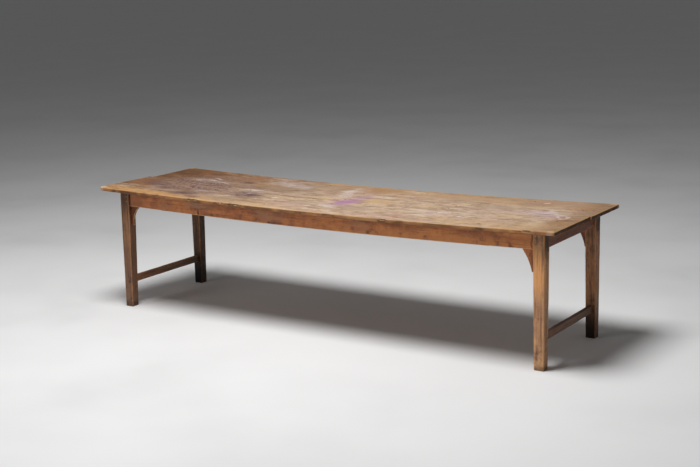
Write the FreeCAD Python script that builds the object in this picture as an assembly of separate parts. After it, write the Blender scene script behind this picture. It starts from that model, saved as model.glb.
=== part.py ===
import FreeCAD, Part
import math
import os

from FreeCAD import Vector

# Farmhouse dining table in millimetres: X along the table, front towards -Y, +Z up.
# Pieces are shaped about the middle of the leg frame, then moved by ORIGIN_SHIFT, so that
# the origin lies on the floor under the middle of the top.

# Overall
FRAME_LENGTH = 2874.0  # over the legs' outer faces
TOP_HEIGHT = 760.0  # floor to the top surface, over the legs' outer faces
SAG = 20.0  # middle of the top below its level over the legs
LEFT_OVERHANG = 129.0  # left tip of the front board past the legs
RIGHT_OVERHANG = 89.0  # right tip of the rear board past the legs
SIDE_OVERHANG = 56.5  # long edges of the top past the legs

# Top boards
BOARD_THICKNESS = 22.0
FRONT_BOARD_WIDTH = 459.0
REAR_BOARD_WIDTH = 404.5
SEAM_GAP = 0.5  # shrinkage crack between the boards
FRONT_BOARD_SHORT = 7.0  # front board stops this short at the right end
FRONT_BOARD_SKEW = 28.0  # its left end falls back this much towards the seam
REAR_BOARD_SHORT = 55.0  # rear board stops this short at the left end
FRONT_LEFT_RADIUS = 32.0  # corner worn round by use
FRONT_RIGHT_RADIUS = 12.0
REAR_LEFT_RADIUS = 18.0
REAR_RIGHT_RADIUS = 10.0

# Legs
LEG_SIZE = 65.0  # square block at the aprons
FOOT_SIZE = 56.0  # tapered on the two inner faces
LEG_CHAMFER = 4.0

# Aprons
APRON_HEIGHT = 90.0
LONG_APRON_THICKNESS = 30.0
LONG_APRON_SETBACK = 8.0  # behind the legs' outer faces
END_APRON_THICKNESS = 28.0
END_APRON_SETBACK = 12.0

# Apron tenons and their pegs
TENON_THICKNESS = 12.0
TENON_SHOULDER = 14.0  # above and below a tenon
TENON_COVER = 20.0  # leg left past the tip of a long apron's tenon
TENON_CLEAR = 3.0  # tip of an end apron's tenon to the long apron's tenon
MORTISE_RELIEF = 1.0  # mortise deeper than its tenon
PEG_DIAMETER = 9.0
PEG_INSET = 16.0  # peg's middle to the tenon's shoulder
PEG_EDGE = 16.0  # peg's middle to the tenon's upper or lower edge
PEG_BITE = 6.0  # peg past the far side of the tenon
PEG_PROUD = 0.8  # peg standing out of the leg

# End stretchers
STRETCHER_HEIGHT = 42.0
STRETCHER_THICKNESS = 24.0
STRETCHER_FLOOR = 149.0  # floor to the stretcher's lower face
STRETCHER_SETBACK = 17.0  # behind the legs' outer faces
STRETCHER_SHOULDER = 6.0  # above and below its tenon
STRETCHER_COVER = 22.0  # leg left past the tip of its tenon

# Corner brackets
BRACKET_LENGTH = 71.0  # along the apron
BRACKET_DROP = 123.0  # down the leg
BRACKET_THICKNESS = 20.0
BRACKET_SETBACK = 16.0  # behind the legs' outer faces
LEFT_BRACKET_TOE = 18.0  # width of the blunt lower end on the left-hand pair
RIGHT_BRACKET_TOE = 14.0  # and on the right-hand pair
LEFT_BRACKET_HOLLOW = 14.0  # depth of the hollow curve on the left-hand pair
RIGHT_BRACKET_HOLLOW = 7.0  # and on the flatter right-hand pair
LEFT_BRACKET_STRAIGHT = 28.0  # straight edge above the toe on the left-hand pair
RIGHT_BRACKET_STRAIGHT = 8.0  # and on the right-hand pair

# Cross bearers under the boards
BEARER_COUNT = 3
BEARER_PITCH = 690.0
BEARER_WIDTH = 40.0
BEARER_HEIGHT = 62.0
TAIL_LENGTH = 15.0  # dovetail let into the aprons
TAIL_ROOT = 28.0
TAIL_TIP = 38.0

# Dowels in the seam
DOWEL_COUNT = 8
DOWEL_PITCH = 345.0
DOWEL_DIAMETER = 9.0
DOWEL_LENGTH = 64.0
DOWEL_RELIEF = 2.0  # dowel hole deeper than the dowel

# Forged nails
NAIL_SHANK = 4.0
NAIL_HEAD = 10.0
NAIL_HEAD_THICKNESS = 2.0
NAIL_POINT = 10.0  # length of the tapered point
NAIL_TIP = 1.2
NAIL_SINK = 0.8  # nail heads below the boards' surface
TOP_NAIL_LENGTH = 58.0
TOP_NAIL_SEAM = 45.0  # nails beside the seam
BRACKET_NAIL_LENGTH = 45.0
BRACKET_NAIL_OUT = 54.0  # upright nail's distance from the leg
BRACKET_NAIL_DOWN = 88.0  # level nail's distance below the apron

# Clearance of pegs, tenons, tails, dowels and nails in their holes
FIT = 0.05
SAME_PLACE = 0.01  # points nearer than this are one corner

# Derived places
TOP_WIDTH = FRONT_BOARD_WIDTH + SEAM_GAP + REAR_BOARD_WIDTH
HALF_WIDTH = TOP_WIDTH / 2
SEAM_Y = -HALF_WIDTH + FRONT_BOARD_WIDTH + SEAM_GAP / 2
LEG_X = FRAME_LENGTH / 2
LEFT_TIP = -LEG_X - LEFT_OVERHANG
RIGHT_TIP = LEG_X + RIGHT_OVERHANG
ORIGIN_SHIFT = Vector(-(LEFT_TIP + RIGHT_TIP) / 2, 0, 0)
LEG_Y = HALF_WIDTH - SIDE_OVERHANG
SHOULDER_X = LEG_X - LEG_SIZE
SHOULDER_Y = LEG_Y - LEG_SIZE
SAG_RADIUS = (LEG_X ** 2 + SAG ** 2) / (2 * SAG)
APRON_DEPTH = BOARD_THICKNESS + APRON_HEIGHT
LONG_APRON_Y = LEG_Y - LONG_APRON_SETBACK - LONG_APRON_THICKNESS / 2
LONG_APRON_INNER_Y = LONG_APRON_Y - LONG_APRON_THICKNESS / 2
END_APRON_X = LEG_X - END_APRON_SETBACK - END_APRON_THICKNESS / 2
STRETCHER_X = LEG_X - STRETCHER_SETBACK - STRETCHER_THICKNESS / 2
STRETCHER_Z = STRETCHER_FLOOR + STRETCHER_HEIGHT / 2

SIDES = {"left": -1, "right": 1}
FACES = {"front": -1, "rear": 1}
BRACKET_SHAPES = {
    -1: (LEFT_BRACKET_TOE, LEFT_BRACKET_HOLLOW, LEFT_BRACKET_STRAIGHT),
    1: (RIGHT_BRACKET_TOE, RIGHT_BRACKET_HOLLOW, RIGHT_BRACKET_STRAIGHT),
}
CORNERS = {f"{face}_{side}": (SIDES[side], FACES[face]) for face in FACES for side in SIDES}


def top_z(x, depth=0.0):
    """Height at x of the sagging surface that lies depth below the top."""
    rise = SAG_RADIUS - math.sqrt(SAG_RADIUS ** 2 - x ** 2)
    return TOP_HEIGHT - SAG + rise - depth


TAPER_TOP = top_z(SHOULDER_X, APRON_DEPTH)
TENON_LOW = TAPER_TOP + TENON_SHOULDER
TENON_HIGH = top_z(SHOULDER_X, BOARD_THICKNESS) - TENON_SHOULDER


def leg_size(z):
    """Side of the leg's square at height z."""
    return FOOT_SIZE + (LEG_SIZE - FOOT_SIZE) * min(z / TAPER_TOP, 1.0)


def block(low, high):
    """Box between two opposite corners given in any order."""
    start = Vector(*(min(pair) for pair in zip(low, high)))
    size = [abs(one - other) for one, other in zip(low, high)]
    return Part.makeBox(*size, start)


def sagging_slab(x_range, y_range, depths):
    """Solid between two depths below the top, following its sag."""
    x1, x2 = x_range
    middle = (x1 + x2) / 2

    def arc(depth):
        points = [Vector(x, y_range[0], top_z(x, depth)) for x in (x1, middle, x2)]
        return Part.Arc(*points).toShape(), points[0], points[2]

    upper, upper_start, upper_end = arc(depths[0])
    lower, lower_start, lower_end = arc(depths[1])
    left = Part.makeLine(upper_start, lower_start)
    right = Part.makeLine(upper_end, lower_end)
    face = Part.Face(Part.Wire(Part.__sortEdges__([upper, right, lower, left])))
    return face.extrude(Vector(0, y_range[1] - y_range[0], 0))


def corner_point(corner, inward_x, inward_y, z):
    """Point at distances inwards from the outer faces of a corner's leg."""
    side, face = corner
    return Vector(side * (LEG_X - inward_x), face * (LEG_Y - inward_y), z)


def corner_block(corner, x_range, y_range, z_range):
    """Box between distances inwards from the outer faces of a corner's leg."""
    ends = zip(x_range, y_range, z_range)
    return block(*(corner_point(corner, *end) for end in ends))


def flat_face(points):
    """Flat face inside a closed outline of straight edges."""
    return Part.Face(Part.makePolygon(points + points[:1]))


def frustum(lower, upper):
    """Solid with flat sides between two outlines of as many points."""
    count = len(lower)
    sides = [flat_face([lower[i - 1], lower[i], upper[i], upper[i - 1]]) for i in range(count)]
    solid = Part.Solid(Part.Shell(sides + [flat_face(lower), flat_face(upper)]))
    if solid.Volume < 0:
        solid.reverse()
    return solid


def rod(start, end, diameter):
    """Round rod between two points."""
    return Part.makeCylinder(diameter / 2, (end - start).Length, start, end - start)


def leg_outline(corner, size, z):
    """Chamfered square around a leg, with its outer corner in place."""
    far = size - LEG_CHAMFER
    near = LEG_CHAMFER
    offsets = [(near, 0), (far, 0), (size, near), (size, far),
               (far, size), (near, size), (0, far), (0, near)]
    return [corner_point(corner, x, y, z) for x, y in offsets]


def leg_blank(corner):
    """Tapered leg whose upper end is scribed to the sagging boards."""
    block_outline = leg_outline(corner, LEG_SIZE, TAPER_TOP)
    taper = frustum(leg_outline(corner, FOOT_SIZE, 0), block_outline)
    upper = flat_face(block_outline).extrude(Vector(0, 0, TOP_HEIGHT - TAPER_TOP))
    side, face = corner
    x_range = sorted((side * LEG_X, side * SHOULDER_X))
    y_range = sorted((face * LEG_Y, face * SHOULDER_Y))
    below_boards = sagging_slab(x_range, y_range, (BOARD_THICKNESS, TOP_HEIGHT))
    return taper.fuse(upper.common(below_boards)).removeSplitter()


def long_tenon(corner, clearance=0.0, relief=0.0):
    """Tenon of a long apron, or the mortise that takes it."""
    middle = LONG_APRON_SETBACK + LONG_APRON_THICKNESS / 2
    half = TENON_THICKNESS / 2 + clearance
    return corner_block(corner, (TENON_COVER - relief, LEG_SIZE), (middle - half, middle + half),
                        (TENON_LOW - clearance, TENON_HIGH + clearance))


def end_tenon(corner, clearance=0.0, relief=0.0):
    """Tenon of an end apron, stopped short of the long apron's tenon."""
    middle = END_APRON_SETBACK + END_APRON_THICKNESS / 2
    half = TENON_THICKNESS / 2 + clearance
    long_side = LONG_APRON_SETBACK + (LONG_APRON_THICKNESS + TENON_THICKNESS) / 2
    tip = long_side + TENON_CLEAR
    return corner_block(corner, (middle - half, middle + half), (tip - relief, LEG_SIZE),
                        (TENON_LOW - clearance, TENON_HIGH + clearance))


def stretcher_tenon(corner, clearance=0.0, relief=0.0):
    """Tenon of an end stretcher, reaching out to the leg's middle plane."""
    middle = STRETCHER_SETBACK + STRETCHER_THICKNESS / 2
    half = TENON_THICKNESS / 2 + clearance
    rise = STRETCHER_HEIGHT / 2 - STRETCHER_SHOULDER + clearance
    return corner_block(corner, (middle - half, middle + half), (STRETCHER_COVER - relief, LEG_SIZE),
                        (STRETCHER_Z - rise, STRETCHER_Z + rise))


def long_pegs(corner, clearance=0.0):
    """Pegs driven from the front or rear face through a long apron's tenon."""
    inward = LEG_SIZE - PEG_INSET
    depth = LONG_APRON_SETBACK + (LONG_APRON_THICKNESS + TENON_THICKNESS) / 2 + PEG_BITE
    heights = (TENON_LOW + PEG_EDGE, TENON_HIGH - PEG_EDGE)
    return [rod(corner_point(corner, inward, -PEG_PROUD, z),
                corner_point(corner, inward, depth, z),
                PEG_DIAMETER + 2 * clearance) for z in heights]


def end_peg(corner, clearance=0.0):
    """Peg driven from the end face through an end apron's tenon."""
    inward = LEG_SIZE - PEG_INSET
    depth = END_APRON_SETBACK + (END_APRON_THICKNESS + TENON_THICKNESS) / 2 + PEG_BITE
    height = (TENON_LOW + TENON_HIGH) / 2
    return rod(corner_point(corner, -PEG_PROUD, inward, height),
               corner_point(corner, depth, inward, height), PEG_DIAMETER + 2 * clearance)


def stretcher_peg(corner, clearance=0.0):
    """Peg driven from the end face through a stretcher's tenon."""
    inward = (STRETCHER_COVER + leg_size(STRETCHER_Z)) / 2
    depth = STRETCHER_SETBACK + (STRETCHER_THICKNESS + TENON_THICKNESS) / 2 + PEG_BITE
    return rod(corner_point(corner, -PEG_PROUD, inward, STRETCHER_Z),
               corner_point(corner, depth, inward, STRETCHER_Z), PEG_DIAMETER + 2 * clearance)


def nail(head, direction, length, clearance=0.0, recess=0.0):
    """Square forged nail from its head's outer face, or the hole that it leaves."""

    def square(side, z):
        half = side / 2 + clearance
        corners = [(-half, -half), (half, -half), (half, half), (-half, half)]
        return [Vector(x, y, z) for x, y in corners]

    under_head = -NAIL_HEAD_THICKNESS - clearance
    point_start = NAIL_POINT - length
    top = flat_face(square(NAIL_HEAD, recess)).extrude(Vector(0, 0, under_head - recess))
    shank = flat_face(square(NAIL_SHANK, under_head)).extrude(Vector(0, 0, point_start - under_head))
    point = frustum(square(NAIL_TIP, -length), square(NAIL_SHANK, point_start))
    whole = top.fuse([shank, point]).removeSplitter()
    turn = FreeCAD.Rotation(Vector(0, 0, -1), direction)
    return whole.transformed(FreeCAD.Placement(head, turn).toMatrix())


def long_apron_blank(face):
    """Long apron between the legs' shoulders, before its tenons and holes."""
    y = face * LONG_APRON_Y
    half = LONG_APRON_THICKNESS / 2
    return sagging_slab((-SHOULDER_X, SHOULDER_X), (y - half, y + half), (BOARD_THICKNESS, APRON_DEPTH))


def bracket_curve(corner):
    """Corner of the bracket and the two ends and the middle of its hollow edge."""
    side, face = corner
    toe, hollow, straight = BRACKET_SHAPES[side]
    y = face * (LEG_Y - BRACKET_SETBACK - BRACKET_THICKNESS / 2)
    corner_at = Vector(side * SHOULDER_X, y, TAPER_TOP)
    outer = corner_at - Vector(side * BRACKET_LENGTH, 0, 0)
    inner = corner_at - Vector(side * toe, 0, BRACKET_DROP - straight)
    chord = inner - outer
    across = Vector(-side * chord.z, 0, side * chord.x).normalize()
    return corner_at, outer, (outer + inner) / 2 + across * hollow, inner


def bracket_blank(corner):
    """Hollow-curved bracket scribed to the apron above it and the leg beside it."""
    side, face = corner
    corner_at, outer, hollow, inner = bracket_curve(corner)
    rise = Vector(0, 0, TENON_SHOULDER)
    into_leg = Vector(side * TENON_COVER, 0, 0)
    toe = Vector(inner.x, inner.y, corner_at.z - BRACKET_DROP)
    heel = Vector(corner_at.x, corner_at.y, toe.z) + into_leg
    edges = [Part.Arc(outer, hollow, inner).toShape()]
    straight = [inner, toe, heel, corner_at + into_leg + rise, outer + rise, outer]
    edges += [Part.makeLine(start, end) for start, end in zip(straight, straight[1:])]
    outline = Part.Face(Part.Wire(edges))
    outline.translate(Vector(0, -BRACKET_THICKNESS / 2, 0))
    whole = outline.extrude(Vector(0, BRACKET_THICKNESS, 0))
    return whole.cut([leg_blank(corner), long_apron_blank(face)])


def bracket_nails(corner, clearance=0.0):
    """Upright nail into the apron and level nail into the leg."""
    side, face = corner
    corner_at, outer, hollow, inner = bracket_curve(corner)
    curve = Part.Arc(outer, hollow, inner).toShape().Curve
    radius, centre = curve.Radius, curve.Center
    up_x = corner_at.x - side * BRACKET_NAIL_OUT
    up_z = centre.z + math.sqrt(radius ** 2 - (up_x - centre.x) ** 2)
    level_z = corner_at.z - BRACKET_NAIL_DOWN
    level_x = centre.x + side * math.sqrt(radius ** 2 - (level_z - centre.z) ** 2)
    recess = BRACKET_THICKNESS if clearance else 0.0
    upright = nail(Vector(up_x, corner_at.y, up_z), Vector(0, 0, 1), BRACKET_NAIL_LENGTH, clearance, recess)
    level = nail(Vector(level_x, corner_at.y, level_z), Vector(side, 0, 0), BRACKET_NAIL_LENGTH,
                 clearance, recess)
    return [upright, level]


def bearer_places():
    """Middle of each cross bearer along the table."""
    first = -(BEARER_COUNT - 1) / 2
    return [(first + index) * BEARER_PITCH for index in range(BEARER_COUNT)]


def bearer_tail(x, face, clearance=0.0):
    """Dovetail at one end of a bearer, or the socket in the apron's inner face."""
    root = TAIL_ROOT / 2 + clearance
    tip = TAIL_TIP / 2 + clearance
    inner = face * LONG_APRON_INNER_Y
    outer = face * (LONG_APRON_INNER_Y + TAIL_LENGTH + clearance)
    plan = [Vector(x - root, inner, 0), Vector(x + root, inner, 0),
            Vector(x + tip, outer, 0), Vector(x - tip, outer, 0)]
    prism = flat_face(plan).extrude(Vector(0, 0, TOP_HEIGHT))
    layer = sagging_slab((x - TAIL_TIP, x + TAIL_TIP), sorted((inner, outer)),
                         (BOARD_THICKNESS, BOARD_THICKNESS + BEARER_HEIGHT + clearance))
    return prism.common(layer)


def bearer(x):
    """Cross bearer with a dovetail at each end."""
    half = BEARER_WIDTH / 2
    bar = sagging_slab((x - half, x + half), (-LONG_APRON_INNER_Y, LONG_APRON_INNER_Y),
                       (BOARD_THICKNESS, BOARD_THICKNESS + BEARER_HEIGHT))
    tails = [bearer_tail(x, face) for face in FACES.values()]
    return bar.fuse(tails).removeSplitter()


def dowels(clearance=0.0, relief=0.0):
    """Dowels across the seam, half in each board."""
    first = -(DOWEL_COUNT - 1) / 2
    reach = DOWEL_LENGTH / 2 + relief
    rods = []
    for index in range(DOWEL_COUNT):
        x = (first + index) * DOWEL_PITCH
        z = top_z(x, BOARD_THICKNESS / 2)
        rods.append(rod(Vector(x, SEAM_Y - reach, z), Vector(x, SEAM_Y + reach, z),
                        DOWEL_DIAMETER + 2 * clearance))
    return rods


def top_nail_places():
    """Nail places over the end aprons, the bearers and the bays of the long aprons."""
    crossings = [-END_APRON_X] + bearer_places() + [END_APRON_X]
    rows = [SEAM_Y - TOP_NAIL_SEAM, SEAM_Y + TOP_NAIL_SEAM,
            (SEAM_Y - LONG_APRON_Y) / 2, (SEAM_Y + LONG_APRON_Y) / 2]
    places = [(x, y) for x in crossings for y in rows]
    bays = [(start + end) / 2 for start, end in zip(crossings, crossings[1:])]
    return places + [(x, face * LONG_APRON_Y) for x in bays for face in FACES.values()]


def top_nails(clearance=0.0):
    """Nails driven down through the boards."""
    recess = BOARD_THICKNESS if clearance else 0.0
    heads = [Vector(x, y, top_z(x, NAIL_SINK)) for x, y in top_nail_places()]
    return [nail(head, Vector(0, 0, -1), TOP_NAIL_LENGTH, clearance, recess) for head in heads]


def board_plan(corners, radii):
    """Upright prism on a board's plan, with the corners of its outer edge rounded."""
    outline = [Vector(x, y, 0) for x, y in corners]
    prism = flat_face(outline).extrude(Vector(0, 0, TOP_HEIGHT + BOARD_THICKNESS))
    for corner, radius in zip(outline, radii):
        upright = [edge for edge in prism.Edges
                   if all(math.hypot(v.X - corner.x, v.Y - corner.y) < SAME_PLACE for v in edge.Vertexes)]
        prism = prism.makeFillet(radius, upright)
    return prism


def top_board(corners, radii, holes):
    """One plank of the top with its nail and dowel holes."""
    ranges = [(min(places) - BOARD_THICKNESS, max(places) + BOARD_THICKNESS) for places in zip(*corners)]
    plank = sagging_slab(*ranges, (0, BOARD_THICKNESS))
    return plank.common(board_plan(corners, radii)).cut(holes)


def end_apron(side, nail_holes):
    """End apron with a tenon at each end."""
    x = side * END_APRON_X
    half = END_APRON_THICKNESS / 2
    bar = sagging_slab((x - half, x + half), (-SHOULDER_Y, SHOULDER_Y), (BOARD_THICKNESS, APRON_DEPTH))
    ends = [(side, face) for face in FACES.values()]
    holes = nail_holes + [end_peg(corner, FIT) for corner in ends]
    return bar.fuse([end_tenon(corner) for corner in ends]).removeSplitter().cut(holes)


def long_apron(face, nail_holes):
    """Long apron with its tenons, dovetail sockets and holes."""
    ends = [(side, face) for side in SIDES.values()]
    body = long_apron_blank(face).fuse([long_tenon(corner) for corner in ends]).removeSplitter()
    holes = list(nail_holes)
    holes += [bearer_tail(x, face, FIT) for x in bearer_places()]
    for corner in ends:
        holes += long_pegs(corner, FIT) + bracket_nails(corner, FIT)
    return body.cut(holes)


def stretcher(side):
    """End stretcher shouldered against the tapered legs, with its tenons."""
    x = side * STRETCHER_X
    half = STRETCHER_THICKNESS / 2
    ends = [(side, face) for face in FACES.values()]
    bar = block((x - half, -LEG_Y, STRETCHER_FLOOR), (x + half, LEG_Y, STRETCHER_FLOOR + STRETCHER_HEIGHT))
    between = bar.cut([leg_blank(corner) for corner in ends])
    tenons = [stretcher_tenon(corner).common(leg_blank(corner)) for corner in ends]
    pegs = [stretcher_peg(corner, FIT) for corner in ends]
    return between.fuse(tenons).removeSplitter().cut(pegs)


def leg(corner):
    """Leg with its mortises, peg holes and bracket nail hole."""
    holes = [long_tenon(corner, FIT, MORTISE_RELIEF), end_tenon(corner, FIT, MORTISE_RELIEF),
             stretcher_tenon(corner, FIT, MORTISE_RELIEF), end_peg(corner, FIT), stretcher_peg(corner, FIT)]
    return leg_blank(corner).cut(holes + long_pegs(corner, FIT) + bracket_nails(corner, FIT))


def save(name, shapes):
    """Write one node, as a single solid or as a group of separate ones."""
    solids = [solid for shape in shapes for solid in shape.Solids]
    node = solids[0] if len(solids) == 1 else Part.makeCompound(solids)
    node.translate(ORIGIN_SHIFT)
    node.exportStep(os.path.join("parts", name + ".step"))


os.makedirs("parts", exist_ok=True)

nail_holes = top_nails(FIT)
board_holes = nail_holes + dowels(FIT, DOWEL_RELIEF)
front_end = RIGHT_TIP - FRONT_BOARD_SHORT
front_seam = SEAM_Y - SEAM_GAP / 2
front_corners = [(LEFT_TIP, -HALF_WIDTH), (front_end, -HALF_WIDTH),
                 (front_end, front_seam), (LEFT_TIP + FRONT_BOARD_SKEW, front_seam)]
rear_start = LEFT_TIP + REAR_BOARD_SHORT
rear_seam = SEAM_Y + SEAM_GAP / 2
rear_corners = [(rear_start, HALF_WIDTH), (RIGHT_TIP, HALF_WIDTH),
                (RIGHT_TIP, rear_seam), (rear_start, rear_seam)]
save("top_board_front", [top_board(front_corners, (FRONT_LEFT_RADIUS, FRONT_RIGHT_RADIUS), board_holes)])
save("top_board_rear", [top_board(rear_corners, (REAR_LEFT_RADIUS, REAR_RIGHT_RADIUS), board_holes)])
save("board_dowels", dowels())
save("top_nails", top_nails())

for name, corner in CORNERS.items():
    save("leg_" + name, [leg(corner)])
    save("bracket_" + name, [bracket_blank(corner).cut(bracket_nails(corner, FIT))])

for name, face in FACES.items():
    save("apron_" + name, [long_apron(face, nail_holes)])

for name, side in SIDES.items():
    save("apron_" + name, [end_apron(side, nail_holes)])
    save("stretcher_" + name, [stretcher(side)])

for number, x in enumerate(bearer_places(), start=1):
    save(f"bearer_{number}", [bearer(x).cut(nail_holes)])

save("long_apron_pegs", [peg for corner in CORNERS.values() for peg in long_pegs(corner)])
save("end_apron_pegs", [end_peg(corner) for corner in CORNERS.values()])
save("stretcher_pegs", [stretcher_peg(corner) for corner in CORNERS.values()])
save("bracket_nails", [piece for corner in CORNERS.values() for piece in bracket_nails(corner)])
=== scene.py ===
import math

import bmesh
import bpy
from bpy.props import FloatProperty, FloatVectorProperty, IntProperty, PointerProperty
from mathutils import Matrix, Vector


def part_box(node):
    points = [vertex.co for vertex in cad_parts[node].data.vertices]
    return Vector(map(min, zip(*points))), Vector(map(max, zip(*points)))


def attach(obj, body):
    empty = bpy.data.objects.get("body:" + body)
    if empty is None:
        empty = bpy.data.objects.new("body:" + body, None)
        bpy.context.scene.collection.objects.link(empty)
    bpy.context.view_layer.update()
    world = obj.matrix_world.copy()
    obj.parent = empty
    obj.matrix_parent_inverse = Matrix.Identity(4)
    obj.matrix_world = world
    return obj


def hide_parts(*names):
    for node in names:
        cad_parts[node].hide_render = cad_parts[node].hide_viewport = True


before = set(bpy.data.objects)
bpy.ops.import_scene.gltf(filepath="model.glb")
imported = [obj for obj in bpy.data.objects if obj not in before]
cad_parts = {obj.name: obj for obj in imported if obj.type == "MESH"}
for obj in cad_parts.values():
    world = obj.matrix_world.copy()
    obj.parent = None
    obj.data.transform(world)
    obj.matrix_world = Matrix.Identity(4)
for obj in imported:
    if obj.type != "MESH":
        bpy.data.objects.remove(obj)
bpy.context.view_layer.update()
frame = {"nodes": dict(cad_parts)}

bl_info = {
    "name": "Farmhouse dining table",
    "version": (1, 0, 0),
    "blender": (4, 5, 0),
    "location": "3D View > Sidebar > Farmhouse table",
    "description": "Builds a long farmhouse dining table of worn boards on a pegged frame",
    "category": "Object",
}

X, Y, Z = 0, 1, 2
SHARP = math.radians(50)
SMOOTH = math.radians(38)
FLAT = math.radians(10)
NEAR = 0.0004  # places closer than this count as one
BOARD_GAP = 0.0003  # between the boards and what carries them
BRACKET_GAP = 0.0002  # between a bracket and its apron
SPARE = 0.004  # height left on a block that is then sawn to the slope
SECTION = 0.13  # spacing of the sections that settle with the table
CUT = 0.034  # spacing of the finer cuts along the frame's timbers
BOARD_CUT_X, BOARD_CUT_Y = 0.032, 0.024  # the same in a board
LEG_HEAD_CUT, BEARER_CUT = 0.030, 0.05
LONG_APRON_CUT_Z, END_APRON_CUT_Z, BRACKET_CUT_Z = 0.012, 0.013, 0.005
FACE_CUT, TAPERED_FACE_CUT = 0.014, 0.022  # distance of the outermost cuts from a face
BOARD_WAVE, LEG_WAVE, LONG_APRON_WAVE, END_APRON_WAVE, RAIL_WAVE = 0.22, 0.10, 0.20, 0.16, 0.12
BOARD_STEP, TIMBER_STEP, RAIL_STEP = 0.0007, 0.0006, 0.0008  # unevenness of the worn edges
FRONT_CORNERS, REAR_CORNERS = (0.034, 0.012), (0.018, 0.010)  # radii at the left and right end
LONG_END = 0.002  # left on a board whose end is then sawn askew
END_RISE = 0.019  # height of the aprons' ends above their middle
LEG_HEAD = 0.73  # height above which a leg's edges stay straight
BLUNT_TIP = 0.003  # sawn off the thin tip of a bracket
BEARER_ARRIS = 0.002
SHOULDER_ZONE = 0.01  # end of a timber that stays flat against the leg
FOOT_ZONE = 0.006  # end of a leg that stays flat on the floor
TENON, TENON_SHOULDER = 0.030, 0.006
TAIL, TAIL_ROOT, TAIL_TIP = 0.015, 0.70, 1.357  # dovetail: length, then widths as shares
PEG_RADIUS = 0.0045
TOP_NAIL, BRACKET_NAIL = 0.057, 0.045
NAIL_HEAD_THICKNESS, NAIL_POINT, NAIL_PROUD = 0.002, 0.3, 0.0003
NAIL_ROW_FRONT, NAIL_ROW_REAR, NAIL_TO_SEAM = -0.1626, 0.1899, 0.045
BRACKET_NAIL_OUT, BRACKET_NAIL_DOWN = 0.054, 0.088


def tint(red, green, blue):
    """Scene colour of a display colour given from 0 to 255."""
    def channel(value):
        value /= 255
        return value / 12.92 if value <= 0.04045 else ((value + 0.055) / 1.055) ** 2.4
    return channel(red), channel(green), channel(blue)


def a_colour(name, description, default):
    """A colour that a user can change."""
    return FloatVectorProperty(name=name, description=description, default=default, size=3, min=0, max=1,
                               subtype="COLOR")


def a_length(name, description, default):
    """A length that a user can change."""
    return FloatProperty(name=name, description=description, default=default, min=0, unit="LENGTH",
                         precision=4)


def a_strength(name, description, default, unit="NONE"):
    """A strength of light that a user can change."""
    return FloatProperty(name=name, description=description, default=default, min=0, unit=unit)


class TopSettings(bpy.types.PropertyGroup):
    """Sizes and colours of the two top boards."""

    thickness: a_length("Thickness", "Thickness of the boards", 0.022)
    sag_radius: a_length("Sag radius", "Radius of the long curve the table has settled into", 51.634)
    end_skew: a_length("End skew", "How far the front board's left end falls back at the seam", 0.028)
    arris: a_length("Arris", "Rounding of the worn outer edges", 0.0045)
    seam_arris: a_length("Seam arris", "Rounding of the edges along the seam", 0.0016)
    unevenness: a_length("Unevenness", "Height of the waves left by planing and use", 0.0010)
    bare_wood: a_colour("Bare wood", "Scrubbed wood of the top", tint(199, 174, 149))
    dark_grain: a_colour("Dark grain", "Darker grain of the top", tint(156, 127, 102))
    # Also laid on the upper worn arrises, partly as a painted highlight
    golden_wood: a_colour("Golden wood", "Cleaner wood along the front", tint(188, 144, 94))
    yellow_wood: a_colour("Yellow wood", "Yellowed patches of the top", tint(194, 161, 118))
    rosy_wood: a_colour("Rosy wood", "Faintly reddened patches of the top", tint(186, 155, 139))
    russet_wood: a_colour("Russet wood", "Reddened patches of the top", tint(166, 106, 70))
    brown_wood: a_colour("Brown wood", "Wood browned by old finish", tint(112, 76, 48))
    plum_stain: a_colour("Plum stain", "Dark purple brown spill", tint(92, 68, 70))
    grey_dirt: a_colour("Grey dirt", "Grey soiling", tint(150, 131, 117))
    pale_paint: a_colour("Pale paint", "Smears of pale paint", tint(228, 214, 206))
    lilac_paint: a_colour("Lilac paint", "Strokes of lilac paint", tint(166, 124, 153))
    dirty_edge: a_colour("Dirty edge", "Handled and soiled board edges", tint(160, 110, 72))
    # Also laid on the boards' right end faces as painted shade
    deep_brown: a_colour("Deep brown", "Darkest stains, chips and nicks", tint(78, 54, 38))
    underside: a_colour("Underside", "Unfinished underside", tint(112, 84, 60))


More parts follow.
